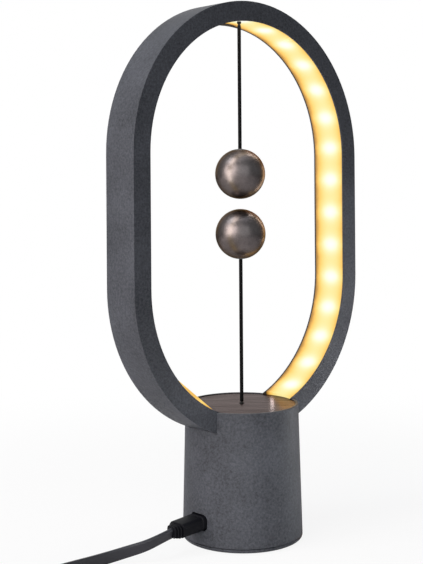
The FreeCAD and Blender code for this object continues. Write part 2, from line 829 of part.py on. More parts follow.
def ring_lights():
    body = new_body("led_strip")
    half = "led_strip_width / 2"
    pad_across(body, f"0 - {half}", half, lambda s: band(s, "strip_outer", "strip_inner", "led_strip_end"))
    radius = number("strip_inner - cord_fit")
    size, height = number("led_size"), number("led_height")
    sweep = math.acos(number("diffuser_end") / radius)
    reach = radius * math.pi / 2 + 2 * number("ring_half_straight") + radius * sweep - number("led_margin")
    pitch, phase = number("led_pitch"), number("led_phase")
    chips = []
    for index in range(math.ceil((-reach - phase) / pitch), math.floor((reach - phase) / pitch) + 1):
        seat, inward = track(phase + index * pitch, radius)
        chip = Part.makeBox(size, size, height, FreeCAD.Vector(-size / 2, -size / 2, 0))
        turn = FreeCAD.Rotation(FreeCAD.Vector(0, 0, 1), inward)
        chip.Placement = FreeCAD.Placement(seat, turn)
        chips.append(chip)
    free_shape("led_chips", Part.makeCompound(chips))


def ring_saddle():
    """A round plate under the ring's ends, with a cradle cut to the ring's curve."""
    plate = cylinder("saddle_radius", "saddle_bottom", "saddle_top")
    block = box(
        ("0 - saddle_length", "saddle_length"),
        ("0 - saddle_width", "saddle_width"),
        ("saddle_bottom", "saddle_top + ring_band"),
    )
    curve = cylinder("ring_outer_radius + saddle_seat", "0 - ring_depth", "ring_depth", ("0", "low_arc"), "Y")
    limit = cylinder("saddle_radius", "saddle_bottom - 1", "saddle_top + ring_band + 1")
    cradle = cut(common(block, limit), curve)
    low, high = "saddle_bottom - 1", "saddle_top + ring_band"
    holes = [
        cylinder("rod_hole_radius", low, high),
        cylinder("lead_hole_radius", low, high, ("lead_hole_x", "lead_hole_y")),
    ]
    for x in ("post_x", "0 - post_x"):
        for y in ("post_y", "0 - post_y"):
            holes.append(cylinder("screw_radius + fit", low, high, (x, y)))
    for x in ("foot_x", "0 - foot_x"):
        holes.append(cylinder("screw_radius + fit", low, high, (x, "foot_y")))
    for x in ("bracket_left - 2", "2 - bracket_right"):
        holes.append(cylinder("screw_radius", low, high, (f"0 - ({x})", "0")))
    node(cut(fuse(plate, cradle), *holes), "ring_saddle")
    corners = [(x, y) for x in ("post_x", "0 - post_x") for y in ("post_y", "0 - post_y")]
    node(screws(corners, "saddle_bottom", "1"), "saddle_screws")
    node(screws([("foot_x", "foot_y"), ("0 - foot_x", "foot_y")], "saddle_bottom", "1"), "ring_screws")


# ---- Pull switch ----


def switch_bracket():
    """A folded bracket under the saddle that guides the pull rod twice and carries the switch."""
    back, front = "bracket_web + bracket_sheet", "0 - bracket_front"
    flange = box(
        ("0 - bracket_left", "bracket_right"), ("0 - flange_front", back), ("flange_bottom", "saddle_bottom")
    )
    web = box(("0 - bracket_foot", "bracket_right"), ("bracket_web", back), ("bracket_bottom", "saddle_bottom"))
    foot = box(
        ("0 - bracket_foot", "bracket_foot"),
        (front, back),
        ("bracket_bottom", "bracket_bottom + bracket_sheet"),
    )
    spacers = [
        cylinder("screw_radius * 1.7", "switch_depth / 2", "bracket_web + 0.5", at, "Y") for at in switch_holes()
    ]
    rod_bore = cylinder("rod_radius + rod_clearance", "bracket_bottom - 1", "saddle_bottom + 1")
    low, high = "flange_bottom - 1", "saddle_bottom + 1"
    bores = [cylinder("screw_radius + fit", low, high, at) for at in bracket_holes()]
    threads = [
        cylinder("screw_radius", "0", "bracket_web + bracket_sheet + 1", at, "Y") for at in switch_holes()
    ]
    node(cut(fuse(flange, web, foot, *spacers), rod_bore, *bores, *threads), "switch_bracket")
    node(screws(bracket_holes(), "flange_bottom", "1"), "bracket_screws")


def bracket_holes():
    return [("2 - bracket_left", "0"), ("bracket_right - 2", "0")]


def switch_holes():
    """The two mounting holes of the micro switch, as x and z."""
    middle = "switch_left + switch_length / 2"
    height = "switch_bottom + switch_height / 2"
    return [
        (f"{middle} - switch_hole_pitch / 2", height),
        (f"{middle} + switch_hole_pitch / 2", height),
    ]


def pull_rod():
    rod = cylinder("rod_radius", "rod_bottom", "rod_top")
    collar = cylinder("collar_radius", "collar_top - collar_thickness", "collar_top")
    node(fuse(rod, collar), "switch_plunger")
    top, bottom = number("flange_bottom"), number("collar_top")
    wire = number("spring_wire")
    height, turns = top - bottom - 2 * wire, number("spring_turns")
    helix = Part.makeHelix(height / turns, height, number("spring_radius"))
    start = FreeCAD.Vector(number("spring_radius"), 0, 0)
    section = Part.Wire(Part.makeCircle(wire, start, FreeCAD.Vector(0, 1, 0)))
    coil = Part.Wire(helix).makePipeShell([section], True, True)
    coil.translate(FreeCAD.Vector(0, 0, bottom + wire))
    free_shape("plunger_spring", coil)


def micro_switch():
    """A lever switch above the collar: its body, lever, button and two screws."""
    half = "switch_depth / 2"
    right, top = "switch_left + switch_length", "switch_bottom + switch_height"
    case = box(("switch_left", right), (f"0 - {half}", half), ("switch_bottom", top))
    tabs = [
        box((x, f"{x} + 0.5"), ("0 - 1", "1"), (f"{top} - 1", f"{top} + 0.8"))
        for x in (f"switch_left + switch_length * {share}" for share in (0.12, 0.5, 0.86))
    ]
    ear = box(("lever_pivot_x - 1", right), ("0 - 0.6", "0.6"), ("pivot_height - 0.6", "switch_bottom + 0.5"))
    pin_bore = cylinder("lever_pin_radius + cord_fit", "0 - 3", "3", ("lever_pivot_x", "pivot_height"), "Y")
    button_bore = cylinder("button_radius + cord_fit", "switch_bottom - 1", "switch_bottom + 2.4", ("button_x", "0"))
    bores = [cylinder("screw_radius + fit", "0 - 4", "4", at, "Y") for at in switch_holes()]
    node(cut(fuse(case, ear, *tabs), pin_bore, button_bore, *bores), "micro_switch")
    strip = box(
        ("lever_tip", "lever_pivot_x + 0.6"),
        ("0 - lever_width / 2", "lever_width / 2"),
        ("lever_bottom", "lever_top"),
    )
    cheeks = [
        box(("lever_pivot_x - 0.6", "lever_pivot_x + 0.6"), side, ("lever_bottom", "pivot_height + 0.4"))
        for side in (("0 - lever_width / 2", "0 - 0.8"), ("0.8", "lever_width / 2"))
    ]
    pin = cylinder(
        "lever_pin_radius",
        "0 - lever_width / 2",
        "lever_width / 2",
        ("lever_pivot_x", "pivot_height"),
        "Y",
    )
    slot = box(
        ("lever_pivot_x - 1.2", "lever_pivot_x + 1"), ("0 - 0.7", "0.7"), ("lever_bottom - 1", "lever_top + 0.01")
    )
    node(fuse(cut(fuse(strip, *cheeks), slot), pin), "switch_lever")
    node(cylinder("button_radius", "lever_top + cord_fit", "switch_bottom + 2", ("button_x", "0")), "switch_button")
    made = []
    for at in switch_holes():
        head = cylinder("screw_head_radius * 0.8", f"0 - {half} - screw_head", f"0 - {half}", at, "Y")
        shaft = cylinder("screw_radius", f"0 - {half}", "bracket_web + bracket_sheet", at, "Y")
        made.append(fuse(head, shaft))
    node(group(*made), "micro_switch_screws")


# ---- Balls and their cords ----


def ball(label, centre, up):
    """A bored ball, the magnet at the end that faces the other ball, and the plug that holds the cord.

    up is 1 where the cord leaves the ball upwards and 0 - 1 where it leaves downwards."""

    def span(low, high):
        ends = (f"{centre} + ({up}) * ({low})", f"{centre} + ({up}) * ({high})")
        return ends if up == "1" else ends[::-1]

    whole = sphere("ball_radius", centre)
    bore = cylinder("magnet_radius + cord_fit", *span("0 - magnet_face", "ball_radius + 1"))
    node(cut(whole, bore), f"{label}_ball")
    magnet_end = "magnet_length - magnet_face"
    node(cylinder("magnet_radius", *span("0 - magnet_face", magnet_end)), f"{label}_magnet")
    skin = sphere("ball_radius", centre)
    filling = cylinder("magnet_radius", *span(f"{magnet_end} + cord_fit", "ball_radius + 1"))
    hole = cylinder("ball_cord_radius + cord_fit", *span(f"{magnet_end} - 1", "ball_radius + 2"))
    node(cut(common(skin, filling), hole), f"{label}_ball_plug")
    return f"{centre} + ({up}) * ({magnet_end} + 2 * cord_fit)"


def hanging_ball():
    cord_end = ball("upper", "upper_ball_centre", "1")
    node(sphere("upper_knot_radius", "upper_pivot"), "upper_cord_knot")
    cord_top = "upper_pivot - upper_knot_radius - knot_gap"
    node(cylinder("ball_cord_radius", cord_end, cord_top), "upper_cord")
    stem = cylinder("anchor_radius", "upper_pivot", "high_arc + diffuser_outer + anchor_head / 2")
    head_low = "high_arc + diffuser_outer + cord_fit"
    head = cylinder("anchor_head_radius", head_low, f"{head_low} + anchor_head")
    seat = sphere("upper_knot_radius + 2 * knot_gap", "upper_pivot")
    low_end = box(("0 - 3", "3"), ("0 - 3", "3"), ("upper_pivot - 1", "high_arc + diffuser_inner - fit"))
    node(cut(fuse(stem, head), fuse(seat, low_end)), "upper_cord_anchor")


def standing_ball():
    cord_end = ball("lower", "lower_ball_centre", "0 - 1")
    node(sphere("lower_knot_radius", "lower_pivot"), "lower_cord_knot")
    cord_foot = "lower_pivot + lower_knot_radius + knot_gap"
    node(cylinder("ball_cord_radius", cord_foot, cord_end), "lower_cord")
    node(
        cylinder("ball_cord_radius", "rod_top", "lower_pivot - lower_knot_radius - knot_gap"),
        "pull_cord",
    )


# ---- Cords: straight runs joined by tangent arcs ----


def tube(label, points, section, area, upright=False):
    """Sweeps a section along the route and compares its volume with section times length."""
    points = [FreeCAD.Vector(*p) for p in points]
    edges, start, radii = [], points[0], []
    for before, corner, after in zip(points, points[1:], points[2:]):
        run_in, run_out = corner - before, after - corner
        turn = run_in.getAngle(run_out)
        reach = 0.45 * min(run_in.Length, run_out.Length)
        radii.append(round(reach / math.tan(turn / 2), 1))
        arc_start = corner - run_in.normalize() * reach
        arc_end = corner + run_out.normalize() * reach
        bisector = (arc_start + arc_end) * 0.5 - corner
        depth = radii[-1] / math.cos(turn / 2) - radii[-1]
        edges.append(Part.LineSegment(start, arc_start).toShape())
        middle = corner + bisector.normalize() * depth
        edges.append(Part.Arc(arc_start, middle, arc_end).toShape())
        start = arc_end
    edges.append(Part.LineSegment(start, points[-1]).toShape())
    path = Part.Wire(edges)
    pipe = Part.BRepOffsetAPI.MakePipeShell(path)
    if upright:
        pipe.setBiNormalMode(FreeCAD.Vector(0, 0, 1))
    pipe.add(section(points[0], points[1] - points[0]))
    pipe.build()
    pipe.makeSolid()
    shape = pipe.shape()
    print(f"{label}: length {path.Length:.1f}, radii {radii}")
    if abs(shape.Volume / (area * path.Length) - 1) > 0.02:
        raise RuntimeError(f"{label}'s volume isn't its section times its length")
    return free_shape(label, shape)


def flat_section(at, along):
    """The flat lead's section, standing on edge across a direction."""
    half_width, half_thickness = number("lead_width / 2"), number("lead_thickness / 2")
    across = FreeCAD.Vector(-along.y, along.x, 0).normalize() * half_thickness
    rise = FreeCAD.Vector(0, 0, half_width)
    corners = [at - across - rise, at + across - rise, at + across + rise, at - across + rise]
    return Part.makePolygon([*corners, corners[0]])


def round_section(radius):
    return lambda at, along: Part.Wire(Part.makeCircle(radius, at, along))


def inner_leads():
    """The leads from the ring's lights and from the switch down to the board."""
    radius = number("inner_lead_radius")
    area = math.pi * radius**2
    hole_x, hole_y = number("lead_hole_x"), number("lead_hole_y")
    strip_end = number("led_strip_end")
    strip_z = number("low_arc - sqrt(strip_inner^2 - led_strip_end^2)")
    saddle_z = number("saddle_bottom")
    plug_top = number("board_top + lead_plug_height + 0.15")
    drop = saddle_z - plug_top
    route = [
        (strip_end, hole_y * 0.6, strip_z + radius * 2),
        (hole_x + (strip_end - hole_x) * 0.47, hole_y * 0.72, strip_z + radius * 2.2),
        (hole_x, hole_y, strip_z - radius * 2),
        (hole_x + radius / 4, hole_y, saddle_z - drop * 0.13),
        (hole_x - radius / 4, hole_y + (number("ring_lead_y") - hole_y) * 0.63, saddle_z - drop * 0.45),
        (hole_x, number("ring_lead_y"), plug_top + drop * 0.28),
        (hole_x, number("ring_lead_y") + radius / 8, plug_top),
    ]
    tube("ring_lead", route, round_section(radius), area)
    right = number("switch_left + switch_length")
    top = number("switch_bottom + switch_height")
    drop = top - plug_top
    plug_x = number("switch_lead_x")
    route = [
        (right + radius / 8, 0, top - radius * 3.1),
        (right + radius * 4.5, 0, top - radius * 3.2),
        (right + radius * 5.5, 0, top - drop * 0.35),
        (right + radius * 4.5, 0, plug_top + drop * 0.28),
        (plug_x, 0, plug_top + drop * 0.16),
        (plug_x - radius / 8, 0, plug_top),
    ]
    tube("switch_lead", route, round_section(radius), area)


# ---- USB lead ----


def rounded_block(label, steps):
    """Rounded rectangles stacked along -X from the plug; a step is x low, x high, width, height, rounding."""
    body = new_body(label)
    for low, high, width, height, rounding in steps:
        sketch = sketch_on(body, "YZ_Plane", low)
        rounded_rectangle(sketch, f"({width}) / 2", f"({height}) / 2", rounding, "rear_height")
        pad(body, sketch, f"({high}) - ({low})")
    return body


def usb_plug():
    """The plug's moulding, which droops towards the lead, its ribbed strain relief and its metal shell."""
    body = new_body("usb_plug_body")
    ends = (
        ("plug_rear", "plug_rear_height / 2", "rear_height"),
        ("plug_front", "plug_height / 2", "usb_height + plug_rise"),
    )
    sections = []
    for x, half_height, middle in ends:
        sections.append(sketch_on(body, "YZ_Plane", x))
        rounded_rectangle(sections[-1], "plug_width / 2", half_height, "plug_round", middle)
    loft = body.newObject("PartDesign::AdditiveLoft", "Loft")
    loft.Profile = sections[0]
    loft.Sections = [sections[1]]
    ribs = []
    for index in range(3):
        start = f"plug_rear - {2 * index} * relief_rib"
        width, height = f"plug_width - {index + 1} * relief_step", f"plug_rear_height - {0.3 * (index + 1):.1f}"
        ribs.append((f"{start} - relief_rib", start, f"{width} - 1.4", f"{height} - 1", "1.2"))
        ribs.append((f"{start} - 2 * relief_rib", f"{start} - relief_rib", width, height, "1.6"))
    ribs[-1] = ("lead_exit", "plug_rear - 5 * relief_rib", *ribs[-1][2:])
    rounded_block("usb_strain_relief", ribs)
    half = "(socket_width / 2 - socket_wall - plug_shell_gap)"
    rise = "(socket_height / 2 - socket_wall - plug_shell_gap)"
    shell = box(
        ("plug_front", "plug_front + plug_shell_length"),
        (f"0 - {half}", half),
        (f"usb_height - {rise}", f"usb_height + {rise}"),
    )
    hollow = box(
        ("plug_front + 0.6", "plug_front + plug_shell_length + 1"),
        (f"plug_shell_wall - {half}", f"{half} - plug_shell_wall"),
        (f"usb_height - {rise} + plug_shell_wall", f"usb_height + {rise} - plug_shell_wall"),
    )
    node(cut(shell, hollow), "usb_plug_shell")


def usb_lead():
    """The flat lead from the plug to the floor, its coil, and the stretch inside the coil to the far plug."""
    area = number("lead_width") * number("lead_thickness")
    exit_x, exit_z, floor = number("lead_exit"), number("rear_height - 0.35"), number("lead_height")
    outer, inner = number("coil_outer_turn"), number("coil_inner_turn")
    end_x, end_y = -119.0, 12.4
    route = [
        (exit_x + 0.6, 0.0, exit_z),
        (-50.5, 0.2, 9.6),
        (-57.5, 2.7, 7.4),
        (-64.0, 7.4, 5.2),
        (-71.5, 10.8, 3.6),
        (-80.5, 12.4, floor),
        (-92.0, 12.9, floor),
        (-106.0, end_y, floor),
        (end_x, end_y, floor),
    ]
    tube("usb_cord", route, flat_section, area, upright=True)
    centre = (f"({end_x})", f"{end_y} - coil_outer_turn")
    low, high = "lead_height - lead_width / 2", "lead_height + lead_width / 2"
    side = "(coil_turn_pitch / 2)"
    whole = cylinder(f"coil_outer_turn + {side}", low, high, centre)
    hollow = cylinder(f"coil_inner_turn - {side}", f"{low} - 1", f"{high} + 1", centre)
    node(cut(whole, hollow), "usb_cord_coil")
    # The last turn bends inwards until it lies along a chord of the coil, where the far plug is.
    bend = math.radians(TAIL_BEND / TAIL_CORNERS)
    step = number("tail_radius") * math.tan(bend / 2) / 0.45
    turned = math.radians(270.0 - TAIL_BEND)
    middle = FreeCAD.Vector(end_x, end_y - outer, floor)
    points = [middle + FreeCAD.Vector(math.cos(turned), math.sin(turned), 0) * inner]
    for corner in range(TAIL_CORNERS + 1):
        heading = turned + math.pi / 2 + bend * corner
        points.append(points[-1] + FreeCAD.Vector(math.cos(heading), math.sin(heading), 0) * step)
    tube("usb_cord_tail", points, flat_section, area, upright=True)
    far_plug(points[-1].x, points[-1].y)


def far_plug(x, y):
    """The plug at the lead's other end, lying inside the coil."""
    start, line = f"({x:.3f})", f"({y:.3f})"
    length_end = f"{start} + far_plug_length"
    body = new_body("far_plug_body")
    sketch = sketch_on(body, "YZ_Plane", start)
    rounded_rectangle(sketch, "far_plug_width / 2", "far_plug_height / 2", "1.6", "0")
    pad(body, sketch, "far_plug_length")
    place(body, "0", line, "far_plug_height / 2 + 0.1")
    shell = box(
        (length_end, f"{length_end} + far_shell_length"),
        (f"{line} - far_shell_width / 2", f"{line} + far_shell_width / 2"),
        ("far_plug_height / 2 + 0.1 - far_shell_height / 2", "far_plug_height / 2 + 0.1 + far_shell_height / 2"),
    )
    hollow = box(
        (f"{length_end} + 0.5", f"{length_end} + far_shell_length + 1"),
        (f"{line} - far_shell_width / 2 + 0.4", f"{line} + far_shell_width / 2 - 0.4"),
        ("far_plug_height / 2 + 0.1", "far_plug_height / 2 + 0.1 + far_shell_height / 2 - 0.4"),
    )
    node(cut(shell, hollow), "far_plug_shell")


# ---- Build, check and write ----


def build():
    base_housing()
    base_top_plate()
    bottom_cover()
    weight_and_pad()
    control_board()
    usb_socket()
    ring_front_shell()
    ring_rear_cover()
    ring_diffuser()
    ring_lights()
    ring_saddle()
    switch_bracket()
    pull_rod()
    micro_switch()
    hanging_ball()
    standing_ball()
    inner_leads()
    usb_plug()
    usb_lead()


def check_and_write():
    doc.recompute()
    for item in doc.Objects:
        if "Invalid" in item.State or "Error" in item.State:
            raise RuntimeError(f"{item.Label} ({item.TypeId}) failed: {item.State}")
    os.makedirs("parts", exist_ok=True)
    for item in NODES:
        shape = item.Shape
        if shape.isNull() or not shape.isValid() or not shape.Solids:
            raise RuntimeError(f"{item.Label} has no valid solid")
        shape.exportStep(f"parts/{item.Label}.step")
    print(f"{len(NODES)} nodes")


build()
check_and_write()
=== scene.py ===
# A balance lamp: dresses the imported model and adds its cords, plugs, diffuser and studio.

import logging
import math
from dataclasses import dataclass
from enum import Enum
from typing import Any, Callable, Sequence

import bmesh
import bpy
from mathutils import Matrix, Vector


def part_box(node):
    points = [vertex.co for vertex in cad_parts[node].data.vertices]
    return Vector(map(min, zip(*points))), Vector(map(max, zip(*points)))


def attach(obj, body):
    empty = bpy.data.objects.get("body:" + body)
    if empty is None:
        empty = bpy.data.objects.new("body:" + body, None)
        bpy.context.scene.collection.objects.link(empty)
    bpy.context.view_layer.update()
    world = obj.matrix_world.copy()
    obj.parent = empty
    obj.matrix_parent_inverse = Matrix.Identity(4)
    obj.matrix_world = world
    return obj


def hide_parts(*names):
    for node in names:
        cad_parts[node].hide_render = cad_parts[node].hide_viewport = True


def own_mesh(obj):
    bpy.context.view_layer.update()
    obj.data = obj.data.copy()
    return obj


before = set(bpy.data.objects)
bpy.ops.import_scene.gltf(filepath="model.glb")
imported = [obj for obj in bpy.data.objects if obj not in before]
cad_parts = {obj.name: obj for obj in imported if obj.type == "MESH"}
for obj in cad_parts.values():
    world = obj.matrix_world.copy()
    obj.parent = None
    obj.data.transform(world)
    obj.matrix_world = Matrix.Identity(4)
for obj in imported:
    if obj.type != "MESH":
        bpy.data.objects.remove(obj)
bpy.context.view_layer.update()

log = logging.getLogger("balance_lamp")
Item = bpy.types.Object
Pair = tuple[float, float]
Point = tuple[float, float, float]
Colour = tuple[float, float, float]
MM = 0.001
AHEAD: Point = (1.0, 0.0, 0.0)
BACK: Point = (-1.0, 0.0, 0.0)
UP: Point = (0.0, 0.0, 1.0)
WHITE: Colour = (1.0, 1.0, 1.0)
PALE: Colour = (1.0, 0.96, 0.95)
NEUTRAL: Colour = (1.0, 0.96, 0.94)
CORD_MAP = "cord"
LINE_STEPS = 12
ALIGNED = 0.95
ORDER = Vector((1.0, 0.618, 0.414))


class Body(Enum):
    """Bodies of the frame that pieces ride on."""

    BASE = "base"
    HANGING_BALL = "hanging_ball"
    STANDING_CORD = "standing_cord"
    USB_LEAD = "usb_lead"


class Pick(Enum):
    """What is selected in edit mode."""

    VERT = "verts"
    EDGE = "edges"
    FACE = "faces"


# ---- Shader graphs ----


def math_node(operation: str, swapped: bool = False) -> Callable[..., "Value"]:
    """Makes a method of Value that adds one Math node.

    Args:
        operation: what the node does.
        swapped: feeds the method's argument before the value itself.

    Returns:
        The method.
    """

    def method(self: "Value", *others: Any) -> "Value":
        """Adds the node and returns its result."""
        inputs = (*others, self) if swapped else (self, *others)
        return self.graph.node("ShaderNodeMath", {"operation": operation}, dict(enumerate(inputs)))

    return method


class Value:
    """A number socket that builds Math nodes from Python operators."""

    __add__, __radd__ = math_node("ADD"), math_node("ADD", True)
    __sub__, __rsub__ = math_node("SUBTRACT"), math_node("SUBTRACT", True)
    __mul__, __rmul__ = math_node("MULTIPLY"), math_node("MULTIPLY", True)
    __pow__, __rpow__ = math_node("POWER"), math_node("POWER", True)
    __truediv__, __abs__ = math_node("DIVIDE"), math_node("ABSOLUTE")
    at_least, at_most = math_node("MAXIMUM"), math_node("MINIMUM")
    sign, nearest, root = math_node("SIGN"), math_node("ROUND"), math_node("SQRT")
    angle_from = math_node("ARCTAN2")

    def __init__(self, graph: "Graph", socket: bpy.types.NodeSocket) -> None:
        """Wraps a socket of the graph."""
        self.graph = graph
        self.socket = socket

    def between(self, low: float, high: float) -> "Value":
        """0 at low and below, 1 at high and above, smooth between them."""
        inputs = {"Value": self, "From Min": low, "From Max": high}
        return self.graph.node("ShaderNodeMapRange", {"interpolation_type": "SMOOTHSTEP"}, inputs)


class Graph:
    """The node tree of one material or world, with a single method that adds nodes."""

    def __init__(self, tree: bpy.types.NodeTree) -> None:
        """Empties the tree."""
        self.tree = tree
        tree.nodes.clear()

    def node(self, kind: str, settings: Any = None, inputs: Any = None, output: Any = 0) -> Value:
        """Adds a node, sets it up and feeds its sockets.

        Args:
            kind: the node's type.
            settings: attributes, set first; "stops" fills a colour ramp.
            inputs: numbers, colours or Values by socket name or index.
            output: name or index of the output that is returned.

        Returns:
            The output, wrapped.
        """
        made = self.tree.nodes.new(kind)
        for name, value in (settings or {}).items():
            if name == "stops":
                ramp = made.color_ramp
                while len(ramp.elements) < len(value):
                    ramp.elements.new(0.5)
                for element, (place, colour) in zip(ramp.elements, value):
                    element.position = place
                    element.color = (*colour, 1.0)
            else:
                setattr(made, name, value)
        for name, value in (inputs or {}).items():
            socket = made.inputs[name]
            if isinstance(value, Value):
                self.tree.links.new(value.socket, socket)
            elif socket.type == "RGBA" and len(value) == 3:
                socket.default_value = (*value, 1.0)
            else:
                socket.default_value = value
        return Value(self, (made.outputs or made.inputs)[output])

    def place(self) -> tuple[Value, Value, Value]:
        """X, Y and Z of the object coordinates in millimetres."""
        inputs = {"Vector": self.node("ShaderNodeTexCoord", output="Object"), "Scale": 1 / MM}
        return self.split(self.node("ShaderNodeVectorMath", {"operation": "SCALE"}, inputs))

    def split(self, vector: Value) -> tuple[Value, Value, Value]:
        """A vector's three parts."""
        kind = "ShaderNodeSeparateXYZ"
        return tuple(self.node(kind, {}, {0: vector}, output=part) for part in range(3))

    def vector(self, x: Any, y: Any, z: Any) -> Value:
        """Joins three values."""
        return self.node("ShaderNodeCombineXYZ", {}, {0: x, 1: y, 2: z})

    def noise(self, at: Value, scale: float, detail: float = 2.0, roughness: float = 0.5) -> Value:
        """Noise from 0 to 1 at a vector in millimetres."""
        inputs = {"Vector": at, "Scale": scale, "Detail": detail, "Roughness": roughness}
        return self.node("ShaderNodeTexNoise", {}, inputs)

    def mix(self, factor: Any, low: Any, high: Any) -> Value:
        """A colour between two."""
        settings = {"data_type": "RGBA"}
        return self.node("ShaderNodeMix", settings, {0: factor, 6: low, 7: high}, output=2)

    def tones(self, level: Value, colour: Colour, low: float, high: float) -> Value:
        """A colour, times low at level 0 and times high at level 1."""
        return self.mix(level, [c * low for c in colour], [c * high for c in colour])

    def blend(self, factor: Any, low: Value, high: Value) -> Value:
        """A shader between two."""
        return self.node("ShaderNodeMixShader", {}, {0: factor, 1: low, 2: high})

    def bump(self, height: Value, distance: float, strength: float = 1.0) -> Value:
        """A normal from a height between 0 and 1; distance is its size in millimetres."""
        inputs = {"Height": height, "Distance": distance * MM, "Strength": strength}
        return self.node("ShaderNodeBump", {}, inputs)

    def surface(self, inputs: dict[str, Any]) -> None:
        """Ends the graph in a Principled shader."""
        shader = self.node("ShaderNodeBsdfPrincipled", {}, inputs)
        self.node("ShaderNodeOutputMaterial", {}, {"Surface": shader})


class Finish:
    """A finish makes one material."""

    name: str

    def draw(self, graph: Graph) -> None:
        """Fills the graph; each finish has its own."""
        raise NotImplementedError

    def material(self) -> bpy.types.Material:
        """The material, made once.

        Returns:
            The material of this finish.
        """
        found = bpy.data.materials.get(self.name)
        if found is None:
            found = bpy.data.materials.new(self.name)
            found.use_nodes = True
            self.draw(Graph(found.node_tree))
        return found


@dataclass(frozen=True)
class MouldedPlastic(Finish):
    """Matte moulded plastic with a fine spark-eroded grain."""

    name: str = "grained_charcoal"
    colour: Colour = (0.0552, 0.0585, 0.068)
    roughness: float = 0.5
    grain: float = 0.03
    contrast: float = 0.55
    gloss: float = 0.17
    fine_scale: float = 2.6
    speck_scale: float = 0.9
    drift_scale: float = 0.045
    steepness: float = 2.6

    def draw(self, graph: Graph) -> None:
        """Fine grain in the bump and the colour, a slow drift in colour and polish.

        Args:
            graph: the empty graph.
        """
        at = graph.vector(*graph.place())
        fine = graph.noise(at, self.fine_scale, 3.0, 0.6)
        slow = graph.noise(at, self.drift_scale)
        speck = graph.noise(at, self.speck_scale, 3.0, 0.75)
        level = ((slow * 0.3 + speck * 0.7 - 0.5) * self.steepness + 0.5).at_least(0.0).at_most(1.0)
        graph.surface({
            "Base Color": graph.tones(level, self.colour, 1 - self.contrast, 1 + self.contrast),
            "Roughness": self.roughness - 0.06 + slow * 0.06 + fine * 0.07,
            "Specular IOR Level": self.gloss,
            "Normal": graph.bump(fine * 0.6 + speck * 0.4, self.grain),
        })


@dataclass(frozen=True)
class LitDiffuser(Finish):
    """Milky strip with the light of a row of chips behind it."""

    name: str = "lit_milky_strip"
    radius: float = 67.4
    low_arc: float = 121.9
    high_arc: float = 181.9
    pitch: float = 16.7
    phase: float = 0.8
    forward: float = 1.1
    half_width: float = 8.75
    spot: float = 4.1
    spot_flatness: float = 0.33
    wash_power: float = 2.2
    wander: float = 1.2
    shades: tuple[tuple[float, Colour], ...] = (
        (0.0, (0.4, 0.19, 0.02)),
        (0.1, (0.67, 0.34, 0.05)),
        (0.235, (0.93, 0.54, 0.095)),
        (0.37, (0.955, 0.68, 0.18)),
        (0.55, (0.965, 0.8, 0.32)),
        (0.73, (0.97, 0.905, 0.54)),
        (0.865, (0.975, 0.96, 0.77)),
        (1.0, (0.98, 0.98, 0.92)),
    )

    def draw(self, graph: Graph) -> None:
        """Warm light, white over each chip and deeper towards the two edges.

        Args:
            graph: the empty graph.
        """
        x, y, z = graph.place()
        side, across = x.sign(), abs(x)
        top = across.angle_from((z - self.high_arc).at_least(0.0))
        bottom = math.pi / 2 - across.angle_from((self.low_arc - z).at_least(0.0))
        straight = (self.high_arc - z).at_least(0.0).at_most(self.high_arc - self.low_arc)
        along = side * ((top + bottom) * self.radius + straight)
        steps = (along - self.phase) / self.pitch
        offset = (steps - steps.nearest()) * self.pitch
        milk = graph.noise(graph.vector(x, y, z), 0.35, 3.0)
        over = y + self.forward + (milk - 0.5) * self.wander
        away = offset * offset + over * over * self.spot_flatness
        spot = math.e ** (away * (-1 / self.spot**2))
        wash = 1 - (abs(over) / self.half_width) ** self.wash_power
        level = (wash + spot) * 0.45 + 0.1
        glow = graph.node("ShaderNodeValToRGB", {"stops": self.shades}, {"Fac": level})
        graph.surface({
            "Base Color": (0.05, 0.045, 0.035),
            "Roughness": 0.42 + milk * 0.1,
            "Specular IOR Level": 0.2,
            "Emission Color": glow,
            "Emission Strength": 1.0,
        })


@dataclass(frozen=True)
class BallMetal(Finish):
    """Satin bronze metal of the balls, with turning marks and a fine speckle."""

    name: str = "bronzed_ball"
    colour: Colour = (0.155, 0.134, 0.131)
    rim: Colour = (0.4, 0.325, 0.23)
    roughness: float = 0.33
    contrast: float = 0.3
    mark_scale: float = 5.0
    cloud_scale: float = 0.16
    speck_scale: float = 1.6
    steepness: float = 2.6

    def draw(self, graph: Graph) -> None:
        """Dark metal, clouded and speckled, and a little polished where it was turned.

        Args:
            graph: the empty graph.
        """
        x, y, z = graph.place()
        at = graph.vector(x, y, z)
        marks = graph.noise(graph.vector(x * 0.05, y * 0.05, z), self.mark_scale, 3.0)
        cloud = graph.noise(at, self.cloud_scale, 3.0)
        speck = graph.noise(at, self.speck_scale, 3.0, 0.7)
        level = (cloud * 0.5 + speck * 0.5 - 0.5) * self.steepness + 0.5
        graph.surface({
            "Base Color": graph.tones(level, self.colour, 1 - self.contrast, 1 + self.contrast),
            "Metallic": 1.0,
            "Specular Tint": self.rim,
            "Roughness": self.roughness - 0.04 + marks * 0.05 + speck * 0.06,
            "Normal": graph.bump(marks * 0.5 + speck * 0.5, 0.004),
        })


